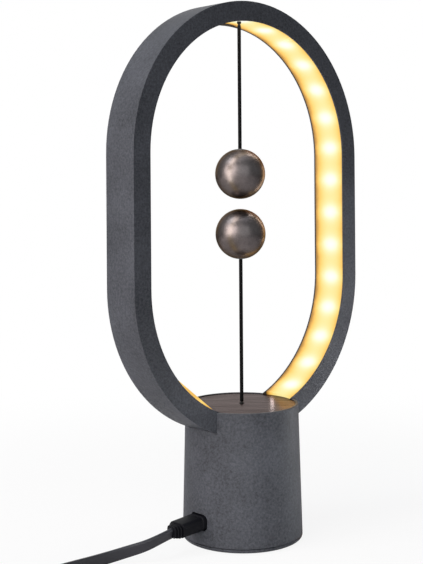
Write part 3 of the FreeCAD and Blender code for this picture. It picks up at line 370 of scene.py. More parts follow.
@dataclass(frozen=True)
class BrushedPlate(Finish):
    """Brushed bronze disc of the base's top."""

    name: str = "brushed_bronze"
    colour: Colour = (0.136, 0.115, 0.115)
    rim: Colour = (0.43, 0.395, 0.385)
    heading: float = -42.2
    line_scale: float = 2.0
    streak_scale: float = 0.5
    steepness: float = 4.5
    shades: Pair = (0.45, 1.6)

    def draw(self, graph: Graph) -> None:
        """Fine straight brush lines across the disc.

        Args:
            graph: the empty graph.
        """
        x, y, z = graph.place()
        cosine, sine = math.cos(math.radians(self.heading)), math.sin(math.radians(self.heading))
        along = x * cosine + y * sine
        over = y * cosine - x * sine
        lines = graph.noise(graph.vector(along * 0.06, over, z), self.line_scale, 4.0, 0.75)
        broad = graph.noise(graph.vector(along * 0.12, over, z), self.streak_scale, 3.0, 0.6)
        level = (lines * 0.4 + broad * 0.6 - 0.5) * self.steepness + 0.5
        graph.surface({
            "Base Color": graph.tones(level, self.colour, *self.shades),
            "Metallic": 1.0,
            "Specular Tint": self.rim,
            "Roughness": 0.14 + lines * 0.12,
            "Normal": graph.bump(lines, 0.02),
        })


@dataclass(frozen=True)
class Braid(Finish):
    """Black braided cord, woven along the piece's own UV map."""

    name: str = "woven_cord"
    colour: Colour = (0.0035, 0.0035, 0.004)
    turns: float = 0.8
    yarns: float = 4.0

    def draw(self, graph: Graph) -> None:
        """Two families of yarns that cross; U runs along in millimetres and V once round.

        Args:
            graph: the empty graph.
        """
        u, v, _ = graph.split(graph.node("ShaderNodeUVMap", {"uv_map": CORD_MAP}))
        waves = [u * self.turns + v * self.yarns, u * self.turns - v * self.yarns]
        left, right = (abs((w - w.nearest()) * 2.0) for w in waves)
        yarn = left.at_least(right)
        graph.surface({
            "Base Color": graph.tones(yarn, self.colour, 1.9, 1.0),
            "Roughness": 0.72 + yarn * 0.15,
            "Specular IOR Level": 0.08,
            "Normal": graph.bump(1 - yarn, 0.12),
        })


@dataclass(frozen=True)
class LeadSkin(Finish):
    """Satin black sheath of the flat lead and its plugs."""

    name: str = "lead_moulding"
    colour: Colour = (0.018, 0.018, 0.022)
    roughness: float = 0.38
    gloss: float = 0.45

    def draw(self, graph: Graph) -> None:
        """Soft sheen with a fine skin.

        Args:
            graph: the empty graph.
        """
        at = graph.vector(*graph.place())
        skin = graph.noise(at, 2.0, 3.0)
        smear = graph.noise(at, 0.12, 3.0, 0.6)
        graph.surface({
            "Base Color": graph.tones(smear, self.colour, 1.0, 1.5),
            "Roughness": self.roughness - 0.05 + smear * 0.14,
            "Specular IOR Level": self.gloss,
            "Normal": graph.bump(skin, 0.01),
        })


@dataclass(frozen=True)
class PlatedSteel(Finish):
    """Nickel-plated or plain steel with fine rolling lines."""

    name: str = "plated_metal"
    colour: Colour = (0.5, 0.49, 0.47)
    roughness: float = 0.28

    def draw(self, graph: Graph) -> None:
        """Bright metal with faint lines along X.

        Args:
            graph: the empty graph.
        """
        x, y, z = graph.place()
        lines = graph.noise(graph.vector(x * 0.1, y, z), 4.0, 3.0)
        stain = graph.noise(graph.vector(x, y, z), 0.3)
        graph.surface({
            "Base Color": graph.tones(stain, self.colour, 0.8, 1.0),
            "Metallic": 1.0,
            "Roughness": self.roughness + lines * 0.14,
            "Normal": graph.bump(lines, 0.004),
        })


@dataclass(frozen=True)
class PlainMoulding(Finish):
    """Hidden mouldings, rubber and boards: a colour with a soft mottle."""

    name: str
    colour: Colour
    roughness: float = 0.6
    grain: float = 0.02
    glow: float = 0.0

    def draw(self, graph: Graph) -> None:
        """Mottled colour, fine grain.

        Args:
            graph: the empty graph.
        """
        at = graph.vector(*graph.place())
        mottle = graph.noise(at, 0.5, 3.0)
        fine = graph.noise(at, 3.0)
        inputs: dict[str, Any] = {
            "Base Color": graph.tones(mottle, self.colour, 0.82, 1.0),
            "Roughness": self.roughness - 0.05 + mottle * 0.1,
            "Normal": graph.bump(fine, self.grain),
        }
        if self.glow:
            inputs["Emission Color"] = self.colour
            inputs["Emission Strength"] = self.glow
        graph.surface(inputs)


HOUSING = MouldedPlastic()
DIFFUSER = LitDiffuser()
BALL = BallMetal()
PLATE = BrushedPlate()
BRAID = Braid()
LEAD = LeadSkin()
PLUG = LeadSkin("plug_moulding", (0.003, 0.003, 0.0045), 0.5, 0.14)
STEEL = PlatedSteel()
INNER = PlainMoulding("black_inner_moulding", (0.05, 0.05, 0.055))
RUBBER = PlainMoulding("soft_foot", (0.02, 0.02, 0.02), 0.8)
IRON = PlainMoulding("cast_weight", (0.08, 0.08, 0.085), 0.7, 0.06)
BOARD = PlainMoulding("green_board", (0.01, 0.07, 0.025), 0.35)
CHIP = PlainMoulding("black_parts", (0.02, 0.02, 0.02), 0.4)
KNOT = PlainMoulding("waxed_knot", (0.003, 0.003, 0.003), 0.8)
STRIP = PlainMoulding("white_strip", (0.75, 0.75, 0.7), 0.5)
LED = PlainMoulding("lit_chip", (1.0, 0.85, 0.5), 0.4, 0.01, 1.0)


def dress(finish: Finish, *nodes: str) -> None:
    """Gives CAD nodes a finish.

    Args:
        finish: the finish.
        nodes: names of CAD nodes.
    """
    for name in nodes:
        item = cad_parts[name]
        item.data.materials.clear()
        item.data.materials.append(finish.material())
        log.info("dressed %s in %s", name, finish.name)


def stand_in(item: Item, body: Body, slot: str, *nodes: str) -> None:
    """Lets a piece stand for CAD nodes.

    Args:
        item: the piece.
        body: the body that it rides on.
        slot: not used.
        nodes: names of the nodes that it replaces.
    """
    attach(item, body.value)
    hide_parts(*nodes)


# ---- Curves and meshes ----


def node_box(node: str) -> tuple[Vector, Vector]:
    """A CAD node's lowest and highest corners in millimetres."""
    low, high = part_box(node)
    return Vector(low) / MM, Vector(high) / MM


def merged_copy(node: str, name: str) -> Item:
    """Copies a CAD node's mesh and merges its loose triangles.

    Args:
        node: the CAD node.
        name: the copy's name.

    Returns:
        The new object, at the origin, with no material.
    """
    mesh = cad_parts[node].data.copy()
    mesh.materials.clear()
    item = bpy.data.objects.new(name, mesh)
    bpy.context.scene.collection.objects.link(item)
    bpy.ops.object.select_all(action="DESELECT")
    item.select_set(True)
    bpy.context.view_layer.objects.active = item
    bpy.ops.object.mode_set(mode="EDIT")
    bpy.ops.mesh.select_all(action="SELECT")
    bpy.ops.mesh.remove_doubles(threshold=0.01 * MM)
    bpy.ops.object.mode_set(mode="OBJECT")
    item.select_set(False)
    return item


def smooth_line(route: Sequence[Point]) -> list[Vector]:
    """Reads the smooth line of a route from a NURBS curve.

    Args:
        route: control points in metres.

    Returns:
        Points along the line.
    """
    curve = bpy.data.curves.new("line", "CURVE")
    curve.dimensions = "3D"
    spline = curve.splines.new("NURBS")
    spline.points.add(len(route) - 1)
    for point, place in zip(spline.points, route):
        point.co = (*place, 1.0)
    spline.order_u = 3
    spline.use_endpoint_u = True
    spline.resolution_u = LINE_STEPS
    holder = bpy.data.objects.new("line", curve)
    bpy.context.scene.collection.objects.link(holder)
    mesh = bpy.data.meshes.new_from_object(holder)
    line = [v.co.copy() for v in mesh.vertices]
    bpy.data.objects.remove(holder)
    bpy.data.curves.remove(curve)
    bpy.data.meshes.remove(mesh)
    return line


def swept(
    name: str,
    line: Sequence[Vector],
    section: Sequence[Pair],
    lean: Callable[[float], float] = lambda travelled: 0.0,
) -> Item:
    """Sweeps a closed section along a line, upright or leaning, with a UV map along it.

    Args:
        name: the object's name.
        line: points of the centreline in metres.
        section: points across, sideways and upwards, in metres.
        lean: how far the section leans sideways, in radians, by the way travelled in metres.

    Returns:
        The object, with closed ends.
    """
    mesh = bpy.data.meshes.new(name)
    made = bmesh.new()
    layer = made.loops.layers.uv.new(CORD_MAP)
    rings, lengths, travelled = [], [], 0.0
    for index, point in enumerate(line):
        before, after = line[max(index - 1, 0)], line[min(index + 1, len(line) - 1)]
        along = (after - before).normalized()
        helper = Vector(UP if abs(along.z) < ALIGNED else (0.0, 1.0, 0.0))
        across = helper.cross(along).normalized()
        up = along.cross(across)
        if index:
            travelled += (point - line[index - 1]).length
        cosine, sine = math.cos(lean(travelled)), math.sin(lean(travelled))
        across, up = across * cosine - up * sine, up * cosine + across * sine
        rings.append([made.verts.new(point + across * s + up * t) for s, t in section])
        lengths.append(travelled / MM)
    count = len(section)
    for low, high, u_low, u_high in zip(rings, rings[1:], lengths, lengths[1:]):
        for k in range(count):
            face = made.faces.new((low[k], high[k], high[(k + 1) % count], low[(k + 1) % count]))
            face.smooth = True
            uvs = ((u_low, k), (u_high, k), (u_high, k + 1), (u_low, k + 1))
            for loop, (u, v) in zip(face.loops, uvs):
                loop[layer].uv = (u, v / count)
    made.faces.new(rings[0])
    made.faces.new(list(reversed(rings[-1])))
    bmesh.ops.recalc_face_normals(made, faces=made.faces)
    made.to_mesh(mesh)
    made.free()
    item = bpy.data.objects.new(name, mesh)
    bpy.context.scene.collection.objects.link(item)
    return item


def round_section(radius: float, count: int) -> list[Pair]:
    """A circle's points."""
    turns = [2 * math.pi * k / count for k in range(count)]
    return [(radius * math.cos(a), radius * math.sin(a)) for a in turns]


def flat_section(width: float, thickness: float, rounding: float, steps: int = 4) -> list[Pair]:
    """A rounded rectangle that stands on its edge.

    Args:
        width: its height, across the flat lead.
        thickness: its thickness, sideways.
        rounding: corner radius.
        steps: faces in each corner.

    Returns:
        Its points, sideways and upwards.
    """
    points = []
    half_x, half_y = thickness / 2 - rounding, width / 2 - rounding
    for side, rise, start in ((1, 1, 0), (-1, 1, 90), (-1, -1, 180), (1, -1, 270)):
        for step in range(steps + 1):
            angle = math.radians(start + 90 * step / steps)
            x, y = rounding * math.cos(angle), rounding * math.sin(angle)
            points.append((side * half_x + x, rise * half_y + y))
    return points


class Workpiece:
    """A moulding shaped in edit mode out of a block; all its sizes are in millimetres."""

    def __init__(self, name: str, low: Point, high: Point) -> None:
        """Adds a block between two corners and opens it for editing.

        Args:
            name: the piece's name.
            low: its lowest corner.
            high: its highest corner.
        """
        bpy.ops.object.select_all(action="DESELECT")
        middle = [(a + b) / 2 * MM for a, b in zip(low, high)]
        sides = [(b - a) * MM for a, b in zip(low, high)]
        bpy.ops.mesh.primitive_cube_add(size=1.0, location=middle, scale=sides)
        self.item = bpy.context.object
        self.item.name = self.item.data.name = name
        bpy.ops.object.transform_apply(location=True, rotation=True, scale=True)
        bpy.ops.object.mode_set(mode="EDIT")

    def pick(self, kind: Pick, test: Callable[[Any], bool]) -> None:
        """Selects what passes a test.

        Args:
            kind: vertices, edges or faces.
            test: takes one of them and says whether it is wanted.
        """
        bpy.ops.mesh.select_mode(type=kind.name)
        bpy.ops.mesh.select_all(action="DESELECT")
        mesh = bmesh.from_edit_mesh(self.item.data)
        for element in getattr(mesh, kind.value):
            if test(element):
                element.select_set(True)
        bmesh.update_edit_mesh(self.item.data)

    def end(self, direction: Point) -> None:
        """Selects the flat face that looks one way."""
        self.pick(Pick.FACE, lambda face: face.normal.dot(Vector(direction)) > ALIGNED)

    def extrude(self, step: Point) -> None:
        """Extrudes the selected faces by a step."""
        bpy.ops.mesh.extrude_region_move(TRANSFORM_OT_translate={"value": [s * MM for s in step]})

    def move(self, step: Point) -> None:
        """Moves what is selected."""
        bpy.ops.transform.translate(value=[s * MM for s in step])

    def resize(self, scale: Point, middle: Point) -> None:
        """Scales what is selected about a point."""
        bpy.ops.transform.resize(value=scale, center_override=[c * MM for c in middle])

    def inset(self, border: float, depth: float) -> None:
        """Insets each selected face and lifts its middle by a depth."""
        bpy.ops.mesh.inset(thickness=border * MM, depth=depth * MM, use_individual=True)

    def round_edges(self, along: Point, radius: float, steps: int) -> None:
        """Rounds the edges that run along a direction.

        Args:
            along: the direction.
            radius: the rounding.
            steps: faces in each corner.
        """
        way = Vector(along)

        def runs_along(edge: bmesh.types.BMEdge) -> bool:
            """Whether an edge has that direction."""
            return abs((edge.verts[1].co - edge.verts[0].co).normalized().dot(way)) > ALIGNED

        self.pick(Pick.EDGE, runs_along)
        bpy.ops.mesh.bevel(offset=radius * MM, segments=steps, affect="EDGES")

    def cut(self, place: Point, normal: Point) -> None:
        """Cuts a line of edges round the piece where a plane meets it."""
        bpy.ops.mesh.select_all(action="SELECT")
        bpy.ops.mesh.bisect(plane_co=[c * MM for c in place], plane_no=normal)

    def order(self) -> None:
        """Sorts the mesh by place: an extrusion adds its walls in a new order on each run."""
        mesh = self.item.data
        verts = sorted(mesh.vertices, key=lambda vert: vert.co.dot(ORDER))
        rank = {vert.index: place for place, vert in enumerate(verts)}
        faces = [[rank[index] for index in face.vertices] for face in mesh.polygons]
        starts = [corners.index(min(corners)) for corners in faces]
        faces = sorted(corners[start:] + corners[:start] for corners, start in zip(faces, starts))
        points = [vert.co.copy() for vert in verts]
        mesh.clear_geometry()
        mesh.from_pydata(points, [], faces)

    def finish(self, finish: Finish, edge: float) -> Item:
        """Softens the edges, turns the faces outwards and gives the piece its finish.

        Args:
            finish: the material's finish.
            edge: width of the soft edges.

        Returns:
            The finished object.
        """
        bpy.ops.mesh.select_all(action="SELECT")
        bpy.ops.mesh.remove_doubles(threshold=0.005 * MM)
        bpy.ops.mesh.normals_make_consistent(inside=False)
        bpy.ops.object.mode_set(mode="OBJECT")
        self.order()
        soft = self.item.modifiers.new("soft_edges", "BEVEL")
        soft.width, soft.segments, soft.limit_method = edge * MM, 3, "ANGLE"
        soft.angle_limit = math.radians(32)
        bpy.ops.object.modifier_apply(modifier=soft.name)
        bpy.ops.object.shade_smooth_by_angle(angle=math.radians(40))
        self.item.data.materials.append(finish.material())
        self.item.select_set(False)
        log.info("%s: %d faces", self.item.name, len(self.item.data.polygons))
        return self.item


# ---- Sub-assemblies ----


@dataclass
class UsbLead:
    """The flat USB lead, its plugs and the coil of what isn't in use."""

    width: float = 5.4 * MM
    thickness: float = 1.8 * MM
    rounding: float = 0.7 * MM
    tuck: float = 0.6 * MM
    floor: float = 2.75 * MM
    exit_x: float = -44.5 * MM
    exit_z: float = 10.5 * MM
    coil_middle: Pair = (-0.119, -0.024044)
    outer: float = 36.444 * MM
    inner: float = 28.4 * MM
    turns: float = 4.125
    tail_bend: float = 135.0
    tail_corners: int = 9
    tail_radius: float = 16.3 * MM
    tail_ease: float = 0.45
    per_turn: int = 24
    lean: float = 22.0
    twist: Pair = (4.0 * MM, 38.0 * MM)
    grip_width: float = 10.0
    grip_front: float = 6.6
    grip_rear: float = 6.3
    grip_rear_middle: float = 11.3
    grip_rounding: float = 1.9
    groove: Pair = (-30.4, -29.4)
    groove_slope: float = 0.2
    groove_waist: Pair = (0.95, 0.93)
    dent_start: float = -31.0
    dent: Pair = (0.9, -0.22)
    relief_middle: float = 10.95
    ribs: tuple[Pair, ...] = ((8.6, 5.8), (7.2, 5.5), (5.9, 5.2))
    rib_share: float = 0.56
    rib_depth: Pair = (1.3, 0.9)
    rib_rounding: float = 1.5
    far_taper: Pair = (0.82, 0.86)
    far_rounding: float = 1.6
    shoulder: Pair = (1.6, 2.0)
    far_dent: Pair = (1.6, -0.45)
    first_ridge: float = 2.6
    ridge_strips: int = 7
    ridge_height: float = 0.35
    ridge_reach: float = 4.0
    soft_edges: Point = (0.25, 0.1, 0.12)

    def leaning(self, travelled: float) -> float:
        """The lead leaves its plug leaning and twists upright on the way down.

        Args:
            travelled: way along the lead.

        Returns:
            The lean in radians.
        """
        start, end = self.twist
        share = min(max((travelled - start) / (end - start), 0.0), 1.0)
        return math.radians(self.lean) * (1 - share * share * (3 - 2 * share))

    def route(self) -> list[Point]:
        """The control points: out of the plug, down to the table, round the coil to the far plug.

        Returns:
            Points in metres.
        """
        floor = self.floor
        points: list[Point] = [
            (self.exit_x + self.tuck, 0.0, self.exit_z),
            (-0.0505, 0.0002, 0.0092),
            (-0.0575, 0.0025, 0.0069),
            (-0.064, 0.007, 0.0049),
            (-0.0715, 0.0101, 0.0034),
            (-0.0805, 0.0117, floor),
            (-0.092, 0.0123, floor),
            (-0.106, 0.0123, floor),
        ]
        middle_x, middle_y = self.coil_middle
        count = round(self.turns * self.per_turn)
        for step in range(count + 1):
            share = step / count
            radius = self.outer + (self.inner - self.outer) * share
            radius /= math.cos(math.pi / self.per_turn) ** 0.5
            angle = math.pi / 2 + share * self.turns * 2 * math.pi
            x, y = middle_x + radius * math.cos(angle), middle_y + radius * math.sin(angle)
            points.append((x, y, floor))
        bend = math.radians(self.tail_bend / self.tail_corners)
        stride = self.tail_radius * math.tan(bend / 2) / self.tail_ease
        start = math.radians(270.0 - self.tail_bend)
        x = middle_x + self.inner * math.cos(start)
        y = middle_y + self.inner * math.sin(start)
        for corner in range(self.tail_corners + 1):
            heading = start + math.pi / 2 + bend * corner
            x, y = x + stride * math.cos(heading), y + stride * math.sin(heading)
            points.append((x, y, floor))
        return points

    def cord(self) -> None:
        line = smooth_line(self.route())
        section = flat_section(self.width, self.thickness, self.rounding)
        lead = swept("usb_lead_sheath", line, section, self.leaning)
        lead.data.materials.append(LEAD.material())
        stand_in(lead, Body.USB_LEAD, "lead", "usb_cord", "usb_cord_coil", "usb_cord_tail")

    def grip(self) -> None:
        """The plug's moulding: it narrows and sinks towards the lead, with a collar in front."""
        low, high = node_box("usb_plug_body")
        tall, half = self.grip_front, self.grip_width / 2
        middle = high.z - tall / 2
        corners = (low.x, -half, middle - tall / 2), (high.x, half, high.z)
        block = Workpiece("usb_plug_grip", *corners)
        block.end(BACK)
        block.resize((1.0, 1.0, self.grip_rear / tall), (low.x, 0.0, middle))
        block.move((0.0, 0.0, self.grip_rear_middle - middle))
        block.round_edges(AHEAD, self.grip_rounding, 5)
        start, end = self.groove
        slope = self.groove_slope
        for place in (end, end - slope, start + slope, start):
            block.cut((place, 0.0, 0.0), AHEAD)
        block.pick(Pick.VERT, lambda vert: start + slope / 2 < vert.co.x / MM < end - slope / 2)
        block.resize((1.0, *self.groove_waist), ((start + end) / 2, 0.0, middle - slope))
        block.pick(
            Pick.FACE,
            lambda face: abs(face.normal.y) > ALIGNED
            and face.calc_center_median().x / MM < self.dent_start,
        )
        block.inset(*self.dent)
        stand_in(block.finish(PLUG, self.soft_edges[0]), Body.USB_LEAD, "lead", "usb_plug_body")

    def relief(self) -> None:
        """The strain relief: ribs that get smaller along the lead, with a neck before each."""
        low, high = node_box("usb_strain_relief")
        pitch = (high.x - low.x) / len(self.ribs)
        rib, neck = pitch * self.rib_share, pitch * (1 - self.rib_share)
        centre = (high.x, 0.0, self.relief_middle)
        steps = []
        for wide, tall in self.ribs:
            steps += [(wide - self.rib_depth[0], tall - self.rib_depth[1], neck), (wide, tall, rib)]
        width, height, _ = steps[0]
        block = Workpiece(
            "usb_plug_ribs",
            (high.x - neck, -width / 2, self.relief_middle - height / 2),
            (high.x, width / 2, self.relief_middle + height / 2),
        )
        block.round_edges(AHEAD, self.rib_rounding, 4)
        block.end(BACK)
        for new_width, new_height, length in steps[1:]:
            block.extrude((0.0, 0.0, 0.0))
            block.resize((1.0, new_width / width, new_height / height), centre)
            block.extrude((-length, 0.0, 0.0))
            width, height = new_width, new_height
        stand_in(block.finish(PLUG, self.soft_edges[1]), Body.USB_LEAD, "lead", "usb_strain_relief")

    def far_grip(self) -> None:
        """The moulding of the plug inside the coil, with ridges for the fingers above and below."""
        low, high = node_box("far_plug_body")
        block = Workpiece("far_plug_grip", tuple(low), tuple(high))
        middle = (low + high) / 2
        block.end(BACK)
        block.resize((1.0, *self.far_taper), (low.x, middle.y, middle.z))
        block.round_edges(AHEAD, self.far_rounding, 4)
        for step in self.shoulder:
            block.cut((high.x - step, 0.0, 0.0), AHEAD)
        edge = high.x - self.shoulder[1] - 0.1
        block.pick(
            Pick.FACE,
            lambda face: abs(face.normal.z) > ALIGNED
            and face.calc_center_median().x / MM < edge,
        )
        block.inset(*self.far_dent)
        first = low.x + self.first_ridge
        for index in range(self.ridge_strips + 1):
            block.cut((first + index, 0.0, 0.0), AHEAD)
        ridges = range(0, self.ridge_strips, 2)

        def strip_of(face: bmesh.types.BMFace) -> int:
            """The strip of the dented floor that a face lies in, or -1."""
            place = face.calc_center_median() / MM
            return math.floor(place.x - first) if abs(place.y - middle.y) < self.ridge_reach else -1

        for side in (-1.0, 1.0):
            block.pick(
                Pick.FACE,
                lambda face: face.normal.z * side > ALIGNED and strip_of(face) in ridges,
            )
            block.extrude((0.0, 0.0, side * self.ridge_height))
        stand_in(block.finish(PLUG, self.soft_edges[2]), Body.USB_LEAD, "lead", "far_plug_body")

    def dress(self) -> None:
        """Finishes of the plugs' metal shells."""
        dress(STEEL, "usb_plug_shell", "far_plug_shell")


@dataclass
class BallPair:
    """Two balls on their cords."""

    cord_radius: float = 0.88 * MM
    cord_facets: int = 14
    control_points: int = 12
    top_share: float = 0.8
    ball_drop: float = 0.0647

    def cords(self) -> None:
        """The braided cords, straight under load."""
        for name, body, node in (
            ("hanging_cord", Body.HANGING_BALL, "upper_cord"),
            ("standing_cord", Body.STANDING_CORD, "lower_cord"),
        ):
            low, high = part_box(node)
            rise = high[2] - low[2]
            last = self.control_points - 1
            route = [(0.0, 0.0, low[2] + rise * k / last) for k in range(self.control_points)]
            line = smooth_line(route)
            cord = swept(name, line, round_section(self.cord_radius, self.cord_facets))
            cord.data.materials.append(BRAID.material())
            stand_in(cord, body, "cord", node)
            cord.visible_glossy = False
            if body is Body.HANGING_BALL:
                self.narrow_top(cord, high[2])
                line = line[::-1]
            else:
                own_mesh(cord)

    def narrow_top(self, cord: Item, top: float) -> None:
        """Narrows the end next to the knot, so that it clears the diffuser when it swings."""
        for vert in [v for v in cord.data.vertices if v.co.z > top - self.cord_radius / 2]:
            vert.co.xy *= self.top_share

    def dress(self) -> None:
        """Finishes of the balls and knots."""
        dress(BALL, "upper_ball", "lower_ball")
        dress(INNER, "upper_ball_plug", "lower_ball_plug")
        dress(DIFFUSER, "upper_cord_anchor")
        dress(STEEL, "upper_magnet", "lower_magnet")
        dress(KNOT, "upper_cord_knot", "lower_cord_knot", "pull_cord")


class LampBase:
    """The round base with its top plate and everything inside it."""

    def dress(self) -> None:
        """Finishes of the base's pieces."""
        dress(HOUSING, "base_housing", "bottom_cover")
        dress(PLATE, "base_top_plate")
        dress(RUBBER, "foot_pad")
        dress(IRON, "counterweight")
        dress(BOARD, "control_board")
        dress(CHIP, "board_components", "micro_switch")
        dress(INNER, "ring_saddle", "switch_plunger", "switch_button")
        dress(LEAD, "ring_lead", "switch_lead")
        dress(
            STEEL, "board_screws", "usb_socket", "saddle_screws", "ring_screws", "switch_bracket",
            "bracket_screws", "plunger_spring", "micro_switch_screws", "switch_lever",
        )


@dataclass
class LightRing:
    """The upright ring with its diffuser."""

    low_arc: float = DIFFUSER.low_arc * MM
    high_arc: float = DIFFUSER.high_arc * MM
    flush: float = 63.2 * MM
    keep_off: Pair = (4.0 * MM, 9.0 * MM)
    facing: float = 0.75

    def strip(self) -> None:
        """The diffuser, its inner face brought flush with the rims except near the cord's hole."""
        item = merged_copy("ring_diffuser", "ring_diffuser_strip")
        mesh = item.data
        inner: set[int] = set()
        for face in mesh.polygons:
            if face.normal.dot(self.inwards(face.center).normalized()) > self.facing:
                inner.update(face.vertices)
        start, end = self.keep_off
        for index in inner:
            place = mesh.vertices[index].co
            towards = self.inwards(place)
            share = 1.0
            if place.z > self.high_arc:
                share = min(max((abs(place.x) - start) / (end - start), 0.0), 1.0)
            step = towards.length - self.flush
            if step > 0:
                place += towards.normalized() * step * share
        mesh.update()
        item.data.materials.append(DIFFUSER.material())
        stand_in(item, Body.BASE, "diffuser", "ring_diffuser")
        log.info("%s: %d faces", item.name, len(mesh.polygons))

    def inwards(self, place: Vector) -> Vector:
        """The way from a point of the ring to its middle line."""
        level = min(max(place.z, self.low_arc), self.high_arc)
        return Vector((0.0, 0.0, level)) - Vector((place.x, 0.0, place.z))

    def dress(self) -> None:
        """Finishes of the ring's pieces."""
        dress(HOUSING, "ring_front_shell", "ring_rear_cover")
        dress(STRIP, "led_strip")
        dress(LED, "led_chips")


# ---- Studio ----


@dataclass(frozen=True)
class Lamp:
    """A soft rectangular lamp in metres and watts, with its spread in degrees."""

    name: str
    place: Point
    aim: Point
    width: float
    height: float
    power: float
    tint: Colour = WHITE
    spread: float = 180.0
    mirrored: bool = True

    def hang(self) -> None:
        """Adds the lamp to the scene, out of the camera's sight."""
        data = bpy.data.lights.new(self.name, "AREA")
        data.shape = "RECTANGLE"
        data.size, data.size_y = self.width, self.height
        data.energy, data.color = self.power, self.tint
        data.spread = math.radians(self.spread)
        item = bpy.data.objects.new(self.name, data)
        item.location = self.place
        heading = Vector(self.aim) - Vector(self.place)
        item.rotation_euler = heading.to_track_quat("-Z", "Y").to_euler()
        item.visible_camera = False
        item.visible_glossy = self.mirrored
        bpy.context.scene.collection.objects.link(item)


@dataclass(frozen=True)
class Glow:
    """A stretch of the lit strip, in millimetres, with its radiance on the left and the right."""

    name: str
    left: float
    right: float
    place: Point
    aim: Point
    width: float
    height: float
    tint: Colour = (1.0, 0.95, 0.92)

    def hang(self) -> None:
        """Hangs a small lamp on each side that glows."""
        for side, radiance in ((-1, self.left), (1, self.right)):
            if radiance:
                place, aim = ((side * x * MM, y * MM, z * MM) for x, y, z in (self.place, self.aim))
                power = radiance * math.pi * self.width * self.height * MM * MM
                name = f"glow_{self.name}_{side}"
                Lamp(name, place, aim, self.width * MM, self.height * MM, power, self.tint).hang()


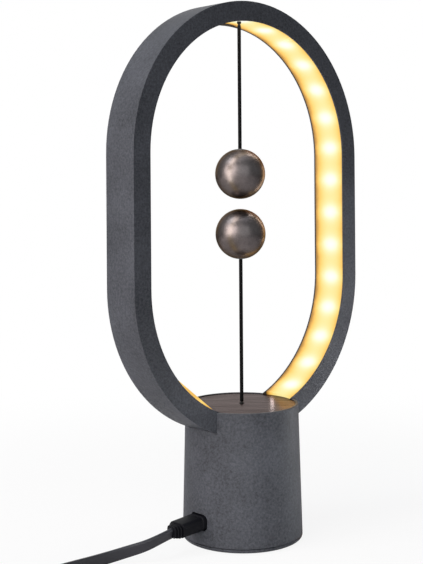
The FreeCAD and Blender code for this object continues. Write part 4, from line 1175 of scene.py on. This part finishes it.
@dataclass
class Studio:
    """Camera, lamps, floor and world."""

    eye: Point = (-0.366473, -0.384396, 0.166748)
    forward: Point = (0.67106, 0.74139, 0.00440)
    roll: float = -0.4
    lens: float = 70.698
    shift_y: float = -0.17721
    rightwards: Point = (0.741, -0.671, 0.0)
    ambient: float = 0.06
    room: float = 0.36
    room_tint: Colour = (0.88, 0.96, 1.0)
    wall: Pair = (0.4, 0.85)
    warmth: Colour = (1.3, 0.52, 0.04)
    warm_side: Pair = (0.08, 0.3)
    floor_size: float = 8.0
    floor_tint: Colour = (0.86, 0.86, 0.87)
    floor_white: float = 0.88
    floor_fade: Pair = (60.0, 400.0)
    lamps: tuple[Lamp, ...] = (
        Lamp("side", (-0.95, 0.03, 0.45), (0.0, 0.0, 0.13), 1.0, 0.8, 11.2, (1.0, 0.93, 0.9)),
        Lamp("fill", (-0.5, -0.72, 0.42), (0.0, 0.0, 0.15), 1.2, 0.8, 2.4, (0.93, 0.97, 1.0)),
        Lamp("high", (-0.55, 0.25, 0.95), (0.0, 0.0, 0.13), 0.4, 0.4, 2.4, (0.88, 0.94, 1.0)),
        Lamp("top", (0.0, 0.0, 1.1), (0.0, 0.0, 0.13), 0.9, 0.9, 2.2, (0.86, 0.9, 1.0)),
        Lamp("low", (-0.13, -0.14, 0.025), (0.0, 0.0, 0.03), 0.2, 0.03, 0.015, spread=60.0),
        Lamp("edge", (0.28, -0.1, 0.04), (0.02, 0.0, 0.03), 0.2, 0.05, 0.027, spread=40.0),
        Lamp(
            "leg", (0.2, -0.15, 0.08), (0.072, 0.0, 0.112), 0.08, 0.08, 0.027, (1.0, 0.98, 1.0),
            spread=40.0, mirrored=False,
        ),
        Lamp("front", (0.07, -0.17, 0.03), (0.01, 0.0, 0.03), 0.12, 0.03, 0.005, spread=60.0),
    )
    glows: tuple[Glow, ...] = (
        Glow("side", 0.0, 11.0, (62.3, -4.5, 156.0), (0.0, -4.5, 156.0), 8.0, 68.0, NEUTRAL),
        Glow("shoulder", 0.0, 11.0, (42.4, -4.5, 224.3), (0.0, -4.5, 182.0), 8.0, 42.0, NEUTRAL),
        Glow("cheek", 7.0, 0.0, (62.3, 0.0, 166.0), (0.0, 0.0, 166.0), 17.5, 50.0),
        Glow("brow", 6.5, 0.0, (42.4, 0.0, 224.3), (0.0, 0.0, 182.0), 17.5, 42.0),
        Glow("crown", 2.5, 0.0, (0.0, 0.0, 244.3), (0.0, 0.0, 182.0), 30.0, 17.5),
        Glow("hip", 0.5, 1.0, (42.4, 0.0, 79.5), (0.0, 0.0, 122.0), 16.0, 42.0, (1.0, 0.6, 0.15)),
        Glow("foot", 1.0, 1.2, (33.5, 0.0, 67.5), (-20.0, 0.0, 76.0), 16.0, 6.0, (1.0, 0.42, 0.01)),
        Glow("heel", 0.0, 7.0, (33.0, 12.5, 67.5), (-20.0, 12.5, 76.0), 2.5, 8.0, PALE),
    )

    def camera(self) -> None:
        """The camera at its height, with its slight roll."""
        data = bpy.data.cameras.new("camera")
        data.lens = self.lens
        data.shift_y = self.shift_y
        data.clip_start = 0.01
        item = bpy.data.objects.new("camera", data)
        bpy.context.scene.collection.objects.link(item)
        ahead = Vector(self.forward).normalized()
        right = ahead.cross(Vector((0, 0, 1))).normalized()
        above = right.cross(ahead)
        angle = math.radians(self.roll)
        cosine, sine = math.cos(angle), math.sin(angle)
        axes = Matrix((right * cosine + above * sine, above * cosine - right * sine, -ahead))
        item.matrix_world = Matrix.Translation(self.eye) @ axes.transposed().to_4x4()
        bpy.context.scene.camera = item

    def lights(self) -> None:
        """Hangs the lamps, and the glows that carry the strip's light to what is near it."""
        for lamp in (*self.lamps, *self.glows):
            lamp.hang()

    def floor(self) -> None:
        """A wide pale floor that fades into the world far away."""
        bpy.ops.mesh.primitive_plane_add(size=self.floor_size, location=(0, 0, 0))
        plane = bpy.context.object
        plane.name = "floor"
        paint = bpy.data.materials.new("floor_paint")
        paint.use_nodes = True
        graph = Graph(paint.node_tree)
        x, y, z = graph.place()
        reach = (x * x + y * y).root()
        diffuse = graph.node("ShaderNodeBsdfDiffuse", {}, {"Color": self.floor_tint})
        white = graph.node("ShaderNodeEmission", {}, {"Color": WHITE, "Strength": 1.0})
        seen = graph.node("ShaderNodeLightPath", output="Is Camera Ray")
        fade = reach.between(*self.floor_fade) * (1 - self.floor_white) + self.floor_white
        paint_mix = graph.blend(seen * fade, diffuse, white)
        graph.node("ShaderNodeOutputMaterial", {}, {"Surface": paint_mix})
        plane.data.materials.append(paint)

    @staticmethod
    def background(graph: Graph, colour: Any, strength: float) -> Value:
        """Light of a colour and a strength."""
        return graph.node("ShaderNodeBackground", {}, {"Color": colour, "Strength": strength})

    @staticmethod
    def seen_towards(graph: Graph, heading: Value, way: Point) -> Value:
        """How far a heading agrees with a way, from -1 to 1."""
        settings = {"operation": "DOT_PRODUCT"}
        return graph.node("ShaderNodeVectorMath", settings, {0: heading, 1: way}, output="Value")

    def world(self) -> None:
        """Plain light from all round; the white backdrop shows to the eye and in what it sees."""
        world = bpy.data.worlds.new("studio")
        bpy.context.scene.world = world
        world.use_nodes = True
        graph = Graph(world.node_tree)
        camera, glossy, through = (
            graph.node("ShaderNodeLightPath", output=f"Is {ray} Ray")
            for ray in ("Camera", "Glossy", "Transmission")
        )
        heading = graph.node("ShaderNodeTexCoord", output="Generated")
        away = self.seen_towards(graph, heading, self.forward)
        right = self.seen_towards(graph, heading, self.rightwards)
        light = self.background(graph, WHITE, self.ambient)
        dim = self.background(graph, self.room_tint, self.room)
        white = self.background(graph, WHITE, 1.0)
        warm = graph.mix(right.between(*self.warm_side), WHITE, self.warmth)
        wall = self.background(graph, warm, 1.0)
        mirrored = graph.blend(away.between(*self.wall), dim, wall)
        both = graph.blend(glossy, light, mirrored)
        last = graph.blend((camera + through).at_most(1.0), both, white)
        graph.node("ShaderNodeOutputWorld", {}, {"Surface": last})
        bpy.context.scene.view_settings.view_transform = "Standard"


def main() -> None:
    """Builds the lamp and its studio in order."""
    logging.basicConfig(level=logging.INFO, format="%(message)s")
    studio = Studio()
    studio.camera()
    lead = UsbLead()
    lead.grip()
    lead.relief()
    lead.far_grip()
    lead.cord()
    lead.dress()
    balls = BallPair()
    balls.cords()
    balls.dress()
    LampBase().dress()
    ring = LightRing()
    ring.strip()
    ring.dress()
    studio.floor()
    studio.lights()
    studio.world()


if __name__ == "__main__":
    main()
